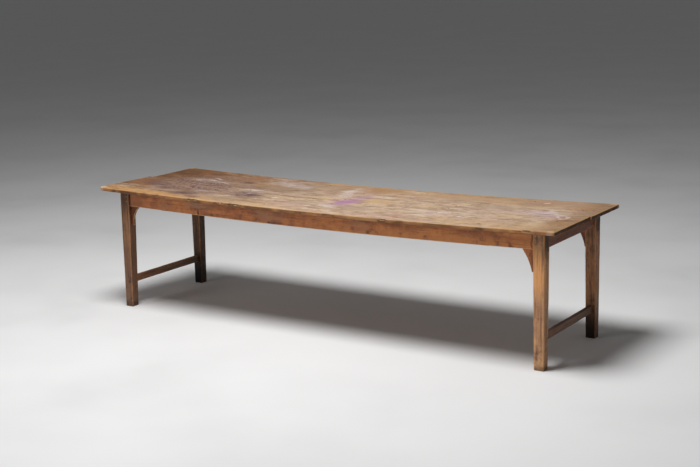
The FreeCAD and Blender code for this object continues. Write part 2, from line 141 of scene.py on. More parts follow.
class FrameSettings(bpy.types.PropertyGroup):
    """Sizes and colours of the legs, aprons, brackets, stretchers and bearers."""

    leg_arris: a_length("Leg arris", "Rounding of the legs' corners", 0.0050)
    foot_taper: a_length("Foot taper", "How much the two inner faces of a leg taper to the floor", 0.009)
    apron_height: a_length("Apron height", "Height of the aprons", 0.090)
    apron_arris: a_length("Apron arris", "Rounding of the aprons' lower edges", 0.0032)
    rail_arris: a_length("Stretcher arris", "Rounding of the stretchers' edges", 0.0035)
    bracket_arris: a_length("Bracket arris", "Rounding of the brackets' edges", 0.0016)
    bracket_length: a_length("Bracket length", "Length of a bracket along the apron", 0.071)
    left_toe: a_length("Left bracket toe", "Width of the lower end of the left brackets", 0.018)
    right_toe: a_length("Right bracket toe", "Width of the lower end of the right brackets", 0.014)
    left_hollow: a_length("Left bracket hollow", "Depth of the curve of the left brackets", 0.014)
    right_hollow: a_length("Right bracket hollow", "Depth of the curve of the right brackets", 0.007)
    left_straight: a_length("Left bracket straight", "Straight edge above the toe, left brackets", 0.028)
    right_straight: a_length("Right bracket straight", "Straight edge above the toe, right brackets", 0.008)
    unevenness: a_length("Unevenness", "Height of the waves left by planing and use", 0.0014)
    # Also laid on the stretchers' fronts, partly as a painted highlight
    red_brown: a_colour("Red brown", "Old stain of the aprons", tint(182, 113, 71))
    orange_brown: a_colour("Orange brown", "Worn stain that lets the wood show", tint(212, 141, 86))
    plum_brown: a_colour("Plum brown", "Thicker patches of the old stain", tint(124, 78, 59))
    # Also painted as shade on the legs' heads and towards the stretchers' rear ends
    dark_brown: a_colour("Dark brown", "Dirt in cracks and knots", tint(66, 44, 32))
    dull_brown: a_colour("Dull brown", "Dull stain of the left legs", tint(122, 88, 67))
    tan_brown: a_colour("Tan brown", "Thin stain of the front right leg", tint(192, 143, 107))
    back_brown: a_colour("Back brown", "Stain of the rear right leg", tint(178, 124, 86))
    rail_brown: a_colour("Rail brown", "Stain of the stretchers", tint(132, 100, 80))
    bracket_brown: a_colour("Bracket brown", "Stain of the front left bracket", tint(118, 56, 16))
    # Near black: dirt on the feet, and painted shade on the rear legs' lower parts
    foot_dirt_and_shade: a_colour("Foot dirt", "Dirt of the rear feet", tint(16, 11, 9))
    dusky_brown: a_colour("Dusky brown", "Darker streaks of the left legs", tint(84, 62, 50))
    shaded_brown: a_colour("Shaded brown", "Stain of the pieces at the back", tint(94, 68, 51))
    grey_dirt: a_colour("Grey dirt", "Grey soiling", tint(144, 122, 106))
    worn_wood: a_colour("Worn wood", "Bare wood of worn edges", tint(216, 168, 122))
    honey_wood: a_colour("Honey wood", "Rubbed wood of the front right leg", tint(240, 174, 114))
    # Near white: bare sawn wood made paler as painted light on a hollow edge that lies in shade
    lit_sawn_wood: a_colour("Sawn wood", "Bare sawn edge of the front left bracket", tint(252, 222, 174))
    raw_wood: a_colour("Raw wood", "Unfinished wood under the top", tint(126, 94, 66))


class FastenerSettings(bpy.types.PropertyGroup):
    """Sizes and colours of the pegs, dowels and nails."""

    peg_facets: IntProperty(name="Peg facets", description="Facets of a shaved peg", default=10,
                            min=6, max=24)
    peg_length: a_length("Peg length", "Length of a peg", 0.036)
    peg_proud: a_length("Peg proud", "How far a peg stands out of the leg", 0.0008)
    nail_head: a_length("Nail head", "Width of a forged nail's head", 0.010)
    nail_shank: a_length("Nail shank", "Width of a forged nail's shank", 0.004)
    peg_wood: a_colour("Peg wood", "Hard wood of the pegs", tint(138, 98, 64))
    iron: a_colour("Iron", "Dark forged iron", tint(58, 47, 40))
    rust: a_colour("Rust", "Rust on the nails", tint(104, 66, 42))


class StageSettings(bpy.types.PropertyGroup):
    """Floor and light around the table."""

    floor_colour: a_colour("Floor", "Plain pale floor", (0.86, 0.86, 0.86))
    room_light: a_strength("Room light", "Strength of the even light", 0.11)
    overhead_power: a_strength("Overhead lamp", "Power of the soft lamp above the table", 300, "POWER")
    overhead_size: a_length("Overhead lamp size", "Width of the soft lamp above the table", 2.4)
    side_power: a_strength("Side lamp", "Power of the soft lamp at the front left", 60, "POWER")
    side_size: a_length("Side lamp size", "Width of the soft lamp at the front left", 3.0)


class TableSettings(bpy.types.PropertyGroup):
    """All settings of the table."""

    top: PointerProperty(type=TopSettings)
    frame: PointerProperty(type=FrameSettings)
    fasteners: PointerProperty(type=FastenerSettings)
    stage: PointerProperty(type=StageSettings)


FRONT_LEFT_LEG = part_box("leg_front_left")
FRONT_RIGHT_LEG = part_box("leg_front_right")
FRAME_MIDDLE = (FRONT_LEFT_LEG[0].x + FRONT_RIGHT_LEG[1].x) / 2
UNDER_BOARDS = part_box("top_board_front")[0].z


def table():
    """The settings of the table in this scene."""
    return bpy.context.scene.farmhouse_table


def rise(x):
    """Height of the settled curve at a place along the table, above its lowest point."""
    radius = table().top.sag_radius
    return radius - math.sqrt(radius ** 2 - (x - FRAME_MIDDLE) ** 2)


def slope(x):
    """Steepness of the settled curve at a place along the table."""
    return (x - FRAME_MIDDLE) / table().top.sag_radius


def apron_bottom():
    """Height of the aprons' lower edge in the middle of the table."""
    return UNDER_BOARDS - table().frame.apron_height


def taper_top():
    """Height at which the legs begin to taper, level with the lower edge of the aprons."""
    return apron_bottom() + rise(FRONT_LEFT_LEG[1].x)


def anywhere(part):
    """Lets every vertex or edge through."""
    return True


def spans(edge, axis, length):
    """Whether an edge reaches further than a length along an axis."""
    first, second = edge.verts
    return abs(first.co[axis] - second.co[axis]) > length


def deselect():
    """Leaves edit mode and deselects every object."""
    if bpy.context.mode != "OBJECT":
        bpy.ops.object.mode_set(mode="OBJECT")
    bpy.ops.object.select_all(action="DESELECT")


def make_active(piece):
    """Selects one object alone."""
    deselect()
    piece.select_set(True)
    bpy.context.view_layer.objects.active = piece


def open_piece(piece):
    """Opens a piece for shaping."""
    make_active(piece)
    bpy.ops.object.mode_set(mode="EDIT")


def apply_place():
    """Moves the place, turn and size of the selected objects into their meshes."""
    bpy.ops.object.transform_apply(location=True, rotation=True, scale=True)


def start_block(name, low, high):
    """Adds a squared block of timber between two corners and opens it for shaping."""
    deselect()
    low, high = Vector(low), Vector(high)
    bpy.ops.mesh.primitive_cube_add(size=1, location=(low + high) / 2, scale=high - low)
    piece = bpy.context.object
    piece.name = piece.data.name = name
    apply_place()
    bpy.ops.object.mode_set(mode="EDIT")
    return piece


def pick(piece, kind, test):
    """Selects the vertices, edges or faces of an open piece that pass a test, and counts them."""
    bpy.ops.mesh.select_mode(type=kind)
    bpy.ops.mesh.select_all(action="DESELECT")
    shape = bmesh.from_edit_mesh(piece.data)
    parts = {"VERT": shape.verts, "EDGE": shape.edges, "FACE": shape.faces}[kind]
    found = [part for part in parts if test(part)]
    for part in found:
        part.select_set(True)
    shape.select_flush_mode()
    bmesh.update_edit_mesh(piece.data)
    return len(found)


def steps(low, high, spacing):
    """Even places between two ends, without the ends."""
    count = max(1, round((high - low) / spacing))
    return [low + (high - low) * number / count for number in range(1, count)]


def slice_along(axis, places):
    """Cuts the open piece across at places along an axis."""
    normal = Vector((0, 0, 0))
    normal[axis] = 1
    for place in places:
        bpy.ops.mesh.select_all(action="SELECT")
        bpy.ops.mesh.bisect(plane_co=normal * place, plane_no=normal)


def trim(place, outward):
    """Saws off what lies outside a plane and closes the cut."""
    bpy.ops.mesh.select_all(action="SELECT")
    bpy.ops.mesh.bisect(plane_co=place, plane_no=Vector(outward).normalized(), use_fill=True,
                        clear_outer=True)


def trim_to_curve(middle, height):
    """Saws the head of a piece to the settled curve, whose height in the table's middle is given."""
    trim((middle, 0, height + rise(middle)), (-slope(middle), 0, 1))


def settle(piece, left, right):
    """Lifts the cross-sections of a straight piece to the curve it has settled into."""
    sections = steps(left, right, SECTION)
    slice_along(X, sections)
    for section in (left, *sections, right):
        if pick(piece, "VERT", lambda v: abs(v.co.x - section) < NEAR):
            bpy.ops.transform.translate(value=(0, 0, rise(section)))


def mark(piece, wear, amount=1):
    """Marks the selected vertices as worn or chipped, for the finish to read."""
    shape = bmesh.from_edit_mesh(piece.data)
    layer = shape.verts.layers.float.get(wear) or shape.verts.layers.float.new(wear)
    for vertex in shape.verts:
        if vertex.select:
            vertex[layer] = amount
    bmesh.update_edit_mesh(piece.data)


def soften(piece, width, test=anywhere, rounds=3, worn=True):
    """Rounds the sharp edges that pass a test."""
    def sharp(edge):
        return edge.is_manifold and edge.calc_face_angle(0) > SHARP and test(edge)
    if not pick(piece, "EDGE", sharp):
        raise RuntimeError("no sharp edge to round on " + piece.name)
    bpy.ops.mesh.bevel(offset=width, segments=rounds, profile=0.5, affect="EDGES", clamp_overlap=False)
    if worn:
        mark(piece, "worn")


def keep_wear_to_edges(shape, layer):
    """Takes the worn mark off the vertices that lie in flat faces."""
    for vertex in shape.verts:
        normals = [face.normal for face in vertex.link_faces]
        if all(normals[0].angle(normal) < FLAT for normal in normals):
            vertex[layer] = 0


def roughen(piece, amount, seed, test=anywhere):
    """Moves the worn vertices of an open piece by small uneven steps."""
    shape = bmesh.from_edit_mesh(piece.data)
    layer = shape.verts.layers.float["worn"]
    keep_wear_to_edges(shape, layer)
    bmesh.update_edit_mesh(piece.data)
    pick(piece, "VERT", lambda v: v[layer] > 0.5 and test(v))
    bpy.ops.transform.vertex_random(offset=amount, uniform=0, normal=0, seed=seed)


def undulate(piece, wave, depth, test=anywhere):
    """Gives the faces the slight waves of planed and worn timber."""
    open_piece(piece)
    pick(piece, "VERT", test)
    bpy.ops.object.vertex_group_add()
    bpy.ops.object.vertex_group_assign()
    bpy.ops.object.mode_set(mode="OBJECT")
    texture = bpy.data.textures.new(piece.name + "_waves", "CLOUDS")
    texture.noise_scale = wave
    texture.noise_depth = 2
    waves = piece.modifiers.new("waves", "DISPLACE")
    waves.texture = texture
    waves.texture_coords = "LOCAL"
    waves.vertex_group = piece.vertex_groups[-1].name
    waves.strength = depth
    bpy.ops.object.modifier_apply(modifier=waves.name)
    piece.vertex_groups.clear()


def recalculate(piece):
    """Merges doubles and points every face outwards."""
    open_piece(piece)
    bpy.ops.mesh.select_all(action="SELECT")
    bpy.ops.mesh.remove_doubles(threshold=0.00001)
    bpy.ops.mesh.normals_make_consistent(inside=False)
    bpy.ops.object.mode_set(mode="OBJECT")


def copy_piece(piece, name):
    """Copies a piece with its own mesh."""
    make_active(piece)
    bpy.ops.object.duplicate(linked=False)
    twin = bpy.context.object
    twin.name = twin.data.name = name
    return twin


def copy_across(piece, name, axis, middle=0):
    """Copies a piece to the other side of the table as its mirror image."""
    twin = copy_piece(piece, name)
    flip, centre = Vector((1, 1, 1)), Vector((0, 0, 0))
    flip[axis] = -1
    centre[axis] = middle
    mirror = Matrix.Diagonal((*flip, 1))
    twin.matrix_world = Matrix.Translation(centre) @ mirror @ Matrix.Translation(-centre)
    apply_place()
    recalculate(twin)
    return twin


def set_in_place(piece, finish, node=None):
    """Smooths a finished piece, gives it its finish and ties it to the table's frame.

    Where no node is given, the piece's name holds it after its first word.
    """
    make_active(piece)
    bpy.ops.object.shade_smooth_by_angle(angle=SMOOTH)
    piece.data.materials.clear()
    piece.data.materials.append(finish)
    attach(piece, "root")
    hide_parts(node or piece.name.split("_", 1)[1])


def wear_timber(piece, finish, seed, wave, rough=anywhere, wavy=anywhere, step=TIMBER_STEP):
    """Roughens the worn edges of a timber of the frame, gives it its waves and sets it in place."""
    open_piece(piece)
    roughen(piece, step, seed, rough)
    undulate(piece, wave, table().frame.unevenness, wavy)
    set_in_place(piece, finish)


class Finish:
    """One finish, put together from clouds of grain, patches and worn edges."""

    def __init__(self, name):
        self.material = bpy.data.materials.new(name)
        self.material.use_nodes = True
        self.tree = self.material.node_tree
        self.tree.nodes.clear()
        self.shader = self.node("ShaderNodeBsdfPrincipled")
        output = self.node("ShaderNodeOutputMaterial")
        self.tree.links.new(self.shader.outputs["BSDF"], output.inputs["Surface"])
        coordinates = self.node("ShaderNodeTexCoord")
        self.place = coordinates.outputs["Object"]
        self.x, self.y, self.z = self.axes(self.place)
        self.facing = self.axes(coordinates.outputs["Normal"])
        self.worn = self.node("ShaderNodeAttribute", attribute_name="worn").outputs["Fac"]
        self.chipped = self.node("ShaderNodeAttribute", attribute_name="chipped").outputs["Fac"]
        self.ragged = self.wander(7.0, 0.10)
        self.colour = None

    def node(self, kind, **values):
        """Adds a node."""
        node = self.tree.nodes.new(kind)
        for key, value in values.items():
            setattr(node, key, value)
        return node

    def feed(self, socket, value):
        """Links a socket, or sets its plain value."""
        if isinstance(value, bpy.types.NodeSocket):
            self.tree.links.new(value, socket)
        elif socket.type == "RGBA":
            socket.default_value = (*value[:3], 1)
        else:
            socket.default_value = value

    def axes(self, vector):
        """The three parts of a vector."""
        split = self.node("ShaderNodeSeparateXYZ")
        self.feed(split.inputs[0], vector)
        return split.outputs[0], split.outputs[1], split.outputs[2]

    def maths(self, operation, first, *others):
        """One sum over two or more values."""
        for other in others:
            node = self.node("ShaderNodeMath", operation=operation)
            self.feed(node.inputs[0], first)
            self.feed(node.inputs[1], other)
            first = node.outputs[0]
        return first

    def times(self, *values):
        """Product of some values or masks."""
        return self.maths("MULTIPLY", *values)

    def most(self, *masks):
        """The largest of some masks."""
        return self.maths("MAXIMUM", *masks)

    def weigh(self, *shares):
        """Sum of values, each times its share."""
        return self.maths("ADD", *[self.times(value, share) for value, share in shares])

    def noise(self, density, shift, detail, roughness, source):
        """A noise with so many waves to the metre along each axis."""
        mapping = self.node("ShaderNodeMapping")
        self.feed(mapping.inputs["Vector"], source)
        mapping.inputs["Location"].default_value = shift
        mapping.inputs["Scale"].default_value = density
        noise = self.node("ShaderNodeTexNoise")
        self.feed(noise.inputs["Vector"], mapping.outputs["Vector"])
        for name, value in (("Scale", 1), ("Detail", detail), ("Roughness", roughness)):
            noise.inputs[name].default_value = value
        return noise.outputs

    def cloud(self, density, shift=(0, 0, 0), detail=5, roughness=0.55, source=None):
        """Soft clouds, as a value."""
        return self.noise(density, shift, detail, roughness, source or self.place)["Fac"]

    def wander(self, density, reach):
        """Places pushed aside unevenly, so that patches get ragged borders."""
        push = self.node("ShaderNodeVectorMath", operation="MULTIPLY_ADD")
        self.feed(push.inputs[0], self.noise((density,) * 3, (0, 0, 0), 6, 0.6, self.place)["Color"])
        push.inputs[1].default_value = (reach,) * 3
        push.inputs[2].default_value = (-reach / 2,) * 3
        moved = self.node("ShaderNodeVectorMath", operation="ADD")
        self.feed(moved.inputs[0], self.place)
        self.feed(moved.inputs[1], push.outputs[0])
        return moved.outputs[0]

    def ramp(self, value, start, end, full=1.0):
        """Goes smoothly from 0 at start to full at end."""
        node = self.node("ShaderNodeMapRange", interpolation_type="SMOOTHSTEP")
        self.feed(node.inputs["Value"], value)
        for name, number in (("From Min", start), ("From Max", end), ("To Min", 0), ("To Max", full)):
            node.inputs[name].default_value = number
        return node.outputs["Result"]

    def between(self, value, start, end, fade, full=1.0):
        """Full between two ends, with soft ends."""
        return self.times(self.ramp(value, start - fade, start + fade, full),
                          self.ramp(value, end + fade, end - fade))

    def lay(self, under, over, mask):
        """Lays one colour over another where the mask says."""
        mix = self.node("ShaderNodeMix", data_type="RGBA")
        self.feed(mix.inputs[0], mask)
        self.feed(mix.inputs[6], under)
        self.feed(mix.inputs[7], over)
        return mix.outputs[2]

    def paint(self, colour, *masks):
        """Lays a colour over the finish where all the masks let it."""
        self.colour = self.lay(self.colour, colour, self.times(*masks))

    def patches(self, across, spots, soft=0.75):
        """Mask of rounded patches, given as two places, two half lengths, a turn in degrees and a strength.

        across is the axis that the patches ignore.
        """
        masks = []
        reach = 1 + soft / 2
        first, second = [axis for axis in (X, Y, Z) if axis != across]
        for place_1, place_2, half_1, half_2, turn, strength in spots:
            centre, size, angle = [0, 0, 0], [100, 100, 100], [0, 0, 0]
            centre[first], centre[second] = place_1, place_2
            size[first], size[second] = half_1 * reach, half_2 * reach
            angle[across] = math.radians(turn)
            mapping = self.node("ShaderNodeMapping", vector_type="TEXTURE")
            self.feed(mapping.inputs["Vector"], self.ragged)
            for name, value in (("Location", centre), ("Rotation", angle), ("Scale", size)):
                mapping.inputs[name].default_value = value
            round_spot = self.node("ShaderNodeTexGradient", gradient_type="SPHERICAL")
            self.feed(round_spot.inputs["Vector"], mapping.outputs[0])
            masks.append(self.ramp(round_spot.outputs["Fac"], 0, soft / reach, strength))
        return self.most(*masks)

    def close(self, colour, roughness, relief, depth, gloss=0.25):
        """Joins colour, roughness and relief to the shader."""
        self.feed(self.shader.inputs["Base Color"], colour)
        self.feed(self.shader.inputs["Roughness"], roughness)
        self.shader.inputs["Specular IOR Level"].default_value = gloss
        bump = self.node("ShaderNodeBump")
        bump.inputs["Strength"].default_value = 0.6
        bump.inputs["Distance"].default_value = depth
        self.feed(bump.inputs["Height"], relief)
        self.feed(self.shader.inputs["Normal"], bump.outputs["Normal"])
        return self.material


def grain_density(along, slow, fast):
    """Waves to the metre: few along the grain and many across it."""
    density = [fast, fast, fast]
    density[along] = slow
    return density


# Marks on the top: place along and across, two half lengths, turn in degrees, strength
PLUM_SPILL = [(-1.00, -0.05, 0.34, 0.22, -15, 0.95), (-0.72, -0.14, 0.22, 0.15, 10, 0.7),
              (-1.05, 0.20, 0.22, 0.10, 0, 0.5)]
PLUM_SPOTS = [(-0.96, -0.29, 0.10, 0.050, 15, 1.0), (-0.86, -0.35, 0.06, 0.025, 0, 0.9),
              (-0.65, -0.10, 0.09, 0.055, 15, 1.0), (-0.57, -0.15, 0.07, 0.045, 15, 1.0),
              (-0.63, -0.21, 0.12, 0.06, 10, 0.9), (-1.29, -0.13, 0.09, 0.05, 0, 0.9),
              (-1.10, -0.03, 0.11, 0.05, 0, 0.55), (-0.83, 0.17, 0.06, 0.04, 0, 0.8),
              (-0.77, -0.07, 0.06, 0.04, 0, 0.5), (-1.16, -0.22, 0.09, 0.05, 0, 0.8),
              (-1.22, 0.02, 0.07, 0.05, 0, 0.8), (-0.96, 0.03, 0.07, 0.04, 0, 0.5)]
DARK_SPOTS = [(-1.40, -0.07, 0.08, 0.07, 0, 0.35), (-1.40, 0.27, 0.13, 0.08, 0, 0.55),
              (-1.19, 0.32, 0.07, 0.04, 0, 0.6), (-1.45, 0.10, 0.06, 0.06, 0, 0.4),
              (-0.42, 0.098, 0.075, 0.010, 42, 0.6), (0.275, -0.150, 0.045, 0.008, 25, 0.5),
              (-0.81, 0.16, 0.03, 0.02, 0, 0.4)]
BROWN_AREAS = [(-1.40, 0.24, 0.22, 0.24, 0, 1.0), (-1.44, -0.12, 0.08, 0.11, 0, 0.65),
               (-1.20, 0.28, 0.07, 0.05, 0, 0.6), (0.08, 0.253, 0.07, 0.03, 0, 0.3),
               (1.47, -0.12, 0.06, 0.03, 0, 0.6), (-0.57, 0.13, 0.18, 0.10, 0, 0.5),
               (-0.62, 0.34, 0.16, 0.05, 0, 0.15), (1.12, 0.26, 0.13, 0.06, 0, 0.30),
               (-0.84, 0.26, 0.14, 0.06, 0, 0.40), (-0.58, -0.35, 0.20, 0.06, 0, 0.30),
               (0.0, 0.33, 0.25, 0.08, 0, 0.25), (-0.45, 0.26, 0.14, 0.05, 0, 0.35)]
RED_AREAS = [(-1.42, -0.10, 0.07, 0.10, 0, 0.50), (-1.22, 0.30, 0.10, 0.06, 0, 0.5),
             (-0.88, 0.22, 0.09, 0.05, 0, 0.40), (-0.84, 0.33, 0.09, 0.05, 0, 0.40),
             (-1.30, -0.24, 0.07, 0.04, 0, 0.5), (1.46, -0.22, 0.07, 0.06, 0, 0.6),
             (1.43, 0.20, 0.08, 0.06, 0, 0.55), (1.48, -0.09, 0.06, 0.06, 0, 0.55),
             (0.05, 0.33, 0.12, 0.05, 0, 0.45), (0.55, -0.34, 0.05, 0.03, 0, 0.4)]
GREY_AREAS = [(-0.12, -0.22, 0.16, 0.07, 0, 0.40), (0.15, -0.22, 0.16, 0.07, 0, 0.60),
              (-0.42, 0.12, 0.16, 0.12, 0, 0.40), (-0.45, 0.27, 0.28, 0.08, 0, 0.45),
              (-1.247, -0.20, 0.06, 0.02, 0, 0.6), (0.264, -0.153, 0.060, 0.010, 25, 0.85),
              (0.44, -0.18, 0.065, 0.011, 54, 0.7), (0.465, -0.07, 0.065, 0.012, 100, 0.6),
              (0.66, 0.20, 0.12, 0.05, 0, 0.35), (-0.25, -0.02, 0.10, 0.05, 0, 0.30),
              (0.95, 0.12, 0.12, 0.06, 0, 0.35)]
YELLOW_AREAS = [(0.236, 0.0, 0.13, 0.06, 0, 0.8), (0.03, 0.31, 0.13, 0.05, 0, 0.9),
                (0.62, 0.34, 0.16, 0.05, 0, 0.6), (-0.30, -0.37, 0.20, 0.05, 0, 0.6),
                (0.95, -0.33, 0.25, 0.06, 0, 0.5)]
ROSY_AREAS = [(-0.18, -0.27, 0.13, 0.07, 0, 0.7), (1.19, 0.02, 0.09, 0.07, 0, 0.7),
              (0.50, -0.30, 0.14, 0.07, 0, 0.5), (1.06, -0.16, 0.12, 0.06, 0, 0.5)]
PALE_SMEARS = [(-1.17, 0.092, 0.05, 0.010, 22, 0.7), (-1.06, 0.125, 0.05, 0.012, -8, 1.0),
               (-1.08, 0.195, 0.05, 0.012, -20, 0.7), (-0.97, 0.10, 0.06, 0.012, -25, 0.6),
               (-0.653, -0.011, 0.09, 0.016, 10, 0.75), (-0.69, -0.25, 0.08, 0.016, 10, 0.6),
               (-0.90, -0.18, 0.08, 0.016, 5, 0.5), (-0.54, 0.25, 0.13, 0.05, -15, 0.5),
               (-0.42, 0.19, 0.07, 0.03, -15, 0.4), (-0.085, 0.26, 0.026, 0.08, 0, 0.8),
               (-0.05, 0.12, 0.028, 0.09, 8, 0.7), (0.036, -0.235, 0.065, 0.020, -22, 1.0),
               (-0.03, -0.20, 0.03, 0.02, -22, 0.8), (0.70, -0.175, 0.11, 0.012, 42, 0.9),
               (0.735, -0.14, 0.07, 0.013, 40, 0.95), (0.64, -0.225, 0.05, 0.015, 20, 0.8),
               (0.80, -0.10, 0.05, 0.012, 40, 0.6), (1.308, 0.071, 0.090, 0.018, -45, 0.95),
               (1.25, 0.03, 0.06, 0.03, 0, 0.6), (0.20, 0.14, 0.06, 0.03, 0, 0.4),
               (0.30, 0.36, 0.08, 0.02, 0, 0.4), (0.98, -0.02, 0.08, 0.02, 10, 0.5)]
PALE_HAZE = [(-0.62, 0.37, 0.14, 0.04, 0, 0.30), (0.88, -0.06, 0.12, 0.06, 0, 0.28),
             (-0.54, 0.25, 0.13, 0.07, 0, 0.25), (-1.10, 0.11, 0.12, 0.05, 0, 0.14),
             (-0.66, -0.05, 0.11, 0.06, 0, 0.14), (0.03, -0.22, 0.10, 0.04, 0, 0.28),
             (-0.07, 0.20, 0.06, 0.14, 0, 0.36), (0.70, -0.16, 0.14, 0.07, 0, 0.28),
             (1.24, 0.03, 0.14, 0.08, 0, 0.40)]
PALE_DROPS = [(-0.087, -0.253, 0.018, 0.014, 0, 0.95), (-0.382, -0.162, 0.016, 0.013, 0, 0.9),
              (0.871, -0.212, 0.016, 0.013, 0, 0.9), (0.903, -0.215, 0.020, 0.010, 0, 0.5),
              (1.158, 0.319, 0.021, 0.017, 0, 1.0), (0.10, -0.347, 0.018, 0.013, 0, 0.5),
              (0.036, -0.245, 0.026, 0.015, -22, 0.8), (0.53, 0.02, 0.010, 0.010, 0, 0.6),
              (-0.62, -0.10, 0.012, 0.010, 0, 0.5), (0.33, 0.22, 0.012, 0.012, 0, 0.5)]
LILAC_STROKES = [(0.076, -0.080, 0.060, 0.075, -12, 1.0), (0.068, -0.150, 0.048, 0.045, 0, 0.60),
                 (0.070, 0.035, 0.045, 0.060, 6, 0.55), (0.092, 0.100, 0.036, 0.040, 0, 0.65),
                 (1.335, -0.030, 0.065, 0.045, 20, 0.55)]
LILAC_TINTS = [(0.06, -0.06, 0.09, 0.17, 0, 0.35), (1.105, 0.277, 0.06, 0.03, 20, 0.45),
               (1.28, 0.02, 0.13, 0.08, -20, 0.30), (-0.54, 0.25, 0.13, 0.06, 0, 0.22)]
RING_OUTSIDE = [(1.422, -0.038, 0.033, 0.052, 20, 0.9)]
RING_INSIDE = [(1.422, -0.038, 0.019, 0.036, 20, 1.0)]
RUBBED_CORNERS = [(-1.535, -0.425, 0.035, 0.035, 0, 0.75), (1.505, -0.425, 0.02, 0.02, 0, 0.5),
                  (-1.49, 0.425, 0.02, 0.02, 0, 0.5), (1.54, 0.425, 0.03, 0.03, 0, 0.6)]
# Marks on the edges and on the front apron: place along and height, then as above
EDGE_STAINS = [(-1.31, 0.75, 0.06, 0.1, 0, 0.8), (-0.79, 0.75, 0.05, 0.1, 0, 0.65),
               (-0.59, 0.75, 0.008, 0.1, 0, 0.9), (-0.49, 0.75, 0.05, 0.1, 0, 0.6),
               (-0.32, 0.75, 0.10, 0.1, 0, 0.55), (-0.10, 0.75, 0.08, 0.1, 0, 0.40),
               (0.87, 0.75, 0.10, 0.1, 0, 0.45), (0.52, 0.75, 0.03, 0.1, 0, 0.7)]
EDGE_RUBS = [(0.38, 0.75, 0.12, 0.1, 0, 0.5)]
APRON_SOIL = [(-0.80, 0.71, 0.09, 0.035, 0, 0.7), (-0.29, 0.69, 0.10, 0.05, 0, 0.4),
              (0.34, 0.69, 0.07, 0.05, 0, 0.25), (-1.05, 0.68, 0.05, 0.05, 0, 0.3)]
APRON_STAINS = [(-0.62, 0.70, 0.10, 0.03, 0, 0.6), (-0.20, 0.70, 0.08, 0.03, 0, 0.6),
                (0.62, 0.71, 0.16, 0.03, 0, 0.6), (1.05, 0.71, 0.12, 0.03, 0, 0.5),
                (-1.31, 0.70, 0.07, 0.09, 0, 0.65)]
APRON_KNOTS = [(-0.809, 0.650, 0.010, 0.024, 0, 0.8), (-0.292, 0.642, 0.016, 0.010, 0, 0.8),
               (0.298, 0.648, 0.018, 0.008, 0, 0.35), (0.390, 0.645, 0.016, 0.009, 0, 0.6),
               (-1.345, 0.69, 0.010, 0.08, 0, 0.9), (1.392, 0.69, 0.006, 0.08, 0, 0.6)]
# Chips in the upper edges: place along, half length, depth
FRONT_CHIPS = [(-0.80, 0.04, 0.004), (-0.589, 0.010, 0.005), (-0.49, 0.045, 0.004),
               (0.52, 0.022, 0.003), (1.38, 0.028, 0.004)]
REAR_CHIPS = [(-0.9, 0.03, 0.003), (0.3, 0.035, 0.003), (1.1, 0.02, 0.003)]
CHIP_MARGIN, CHIP_FIELD = 0.02, 0.016  # length past a chip's ends and width of what is cut finer for it
# A chip is broken out in three bites: share of its length, width, share of its depth
CHIP_BITES = ((1.0, 0.011, 0.35), (0.75, 0.008, 0.35), (0.45, 0.007, 0.3))


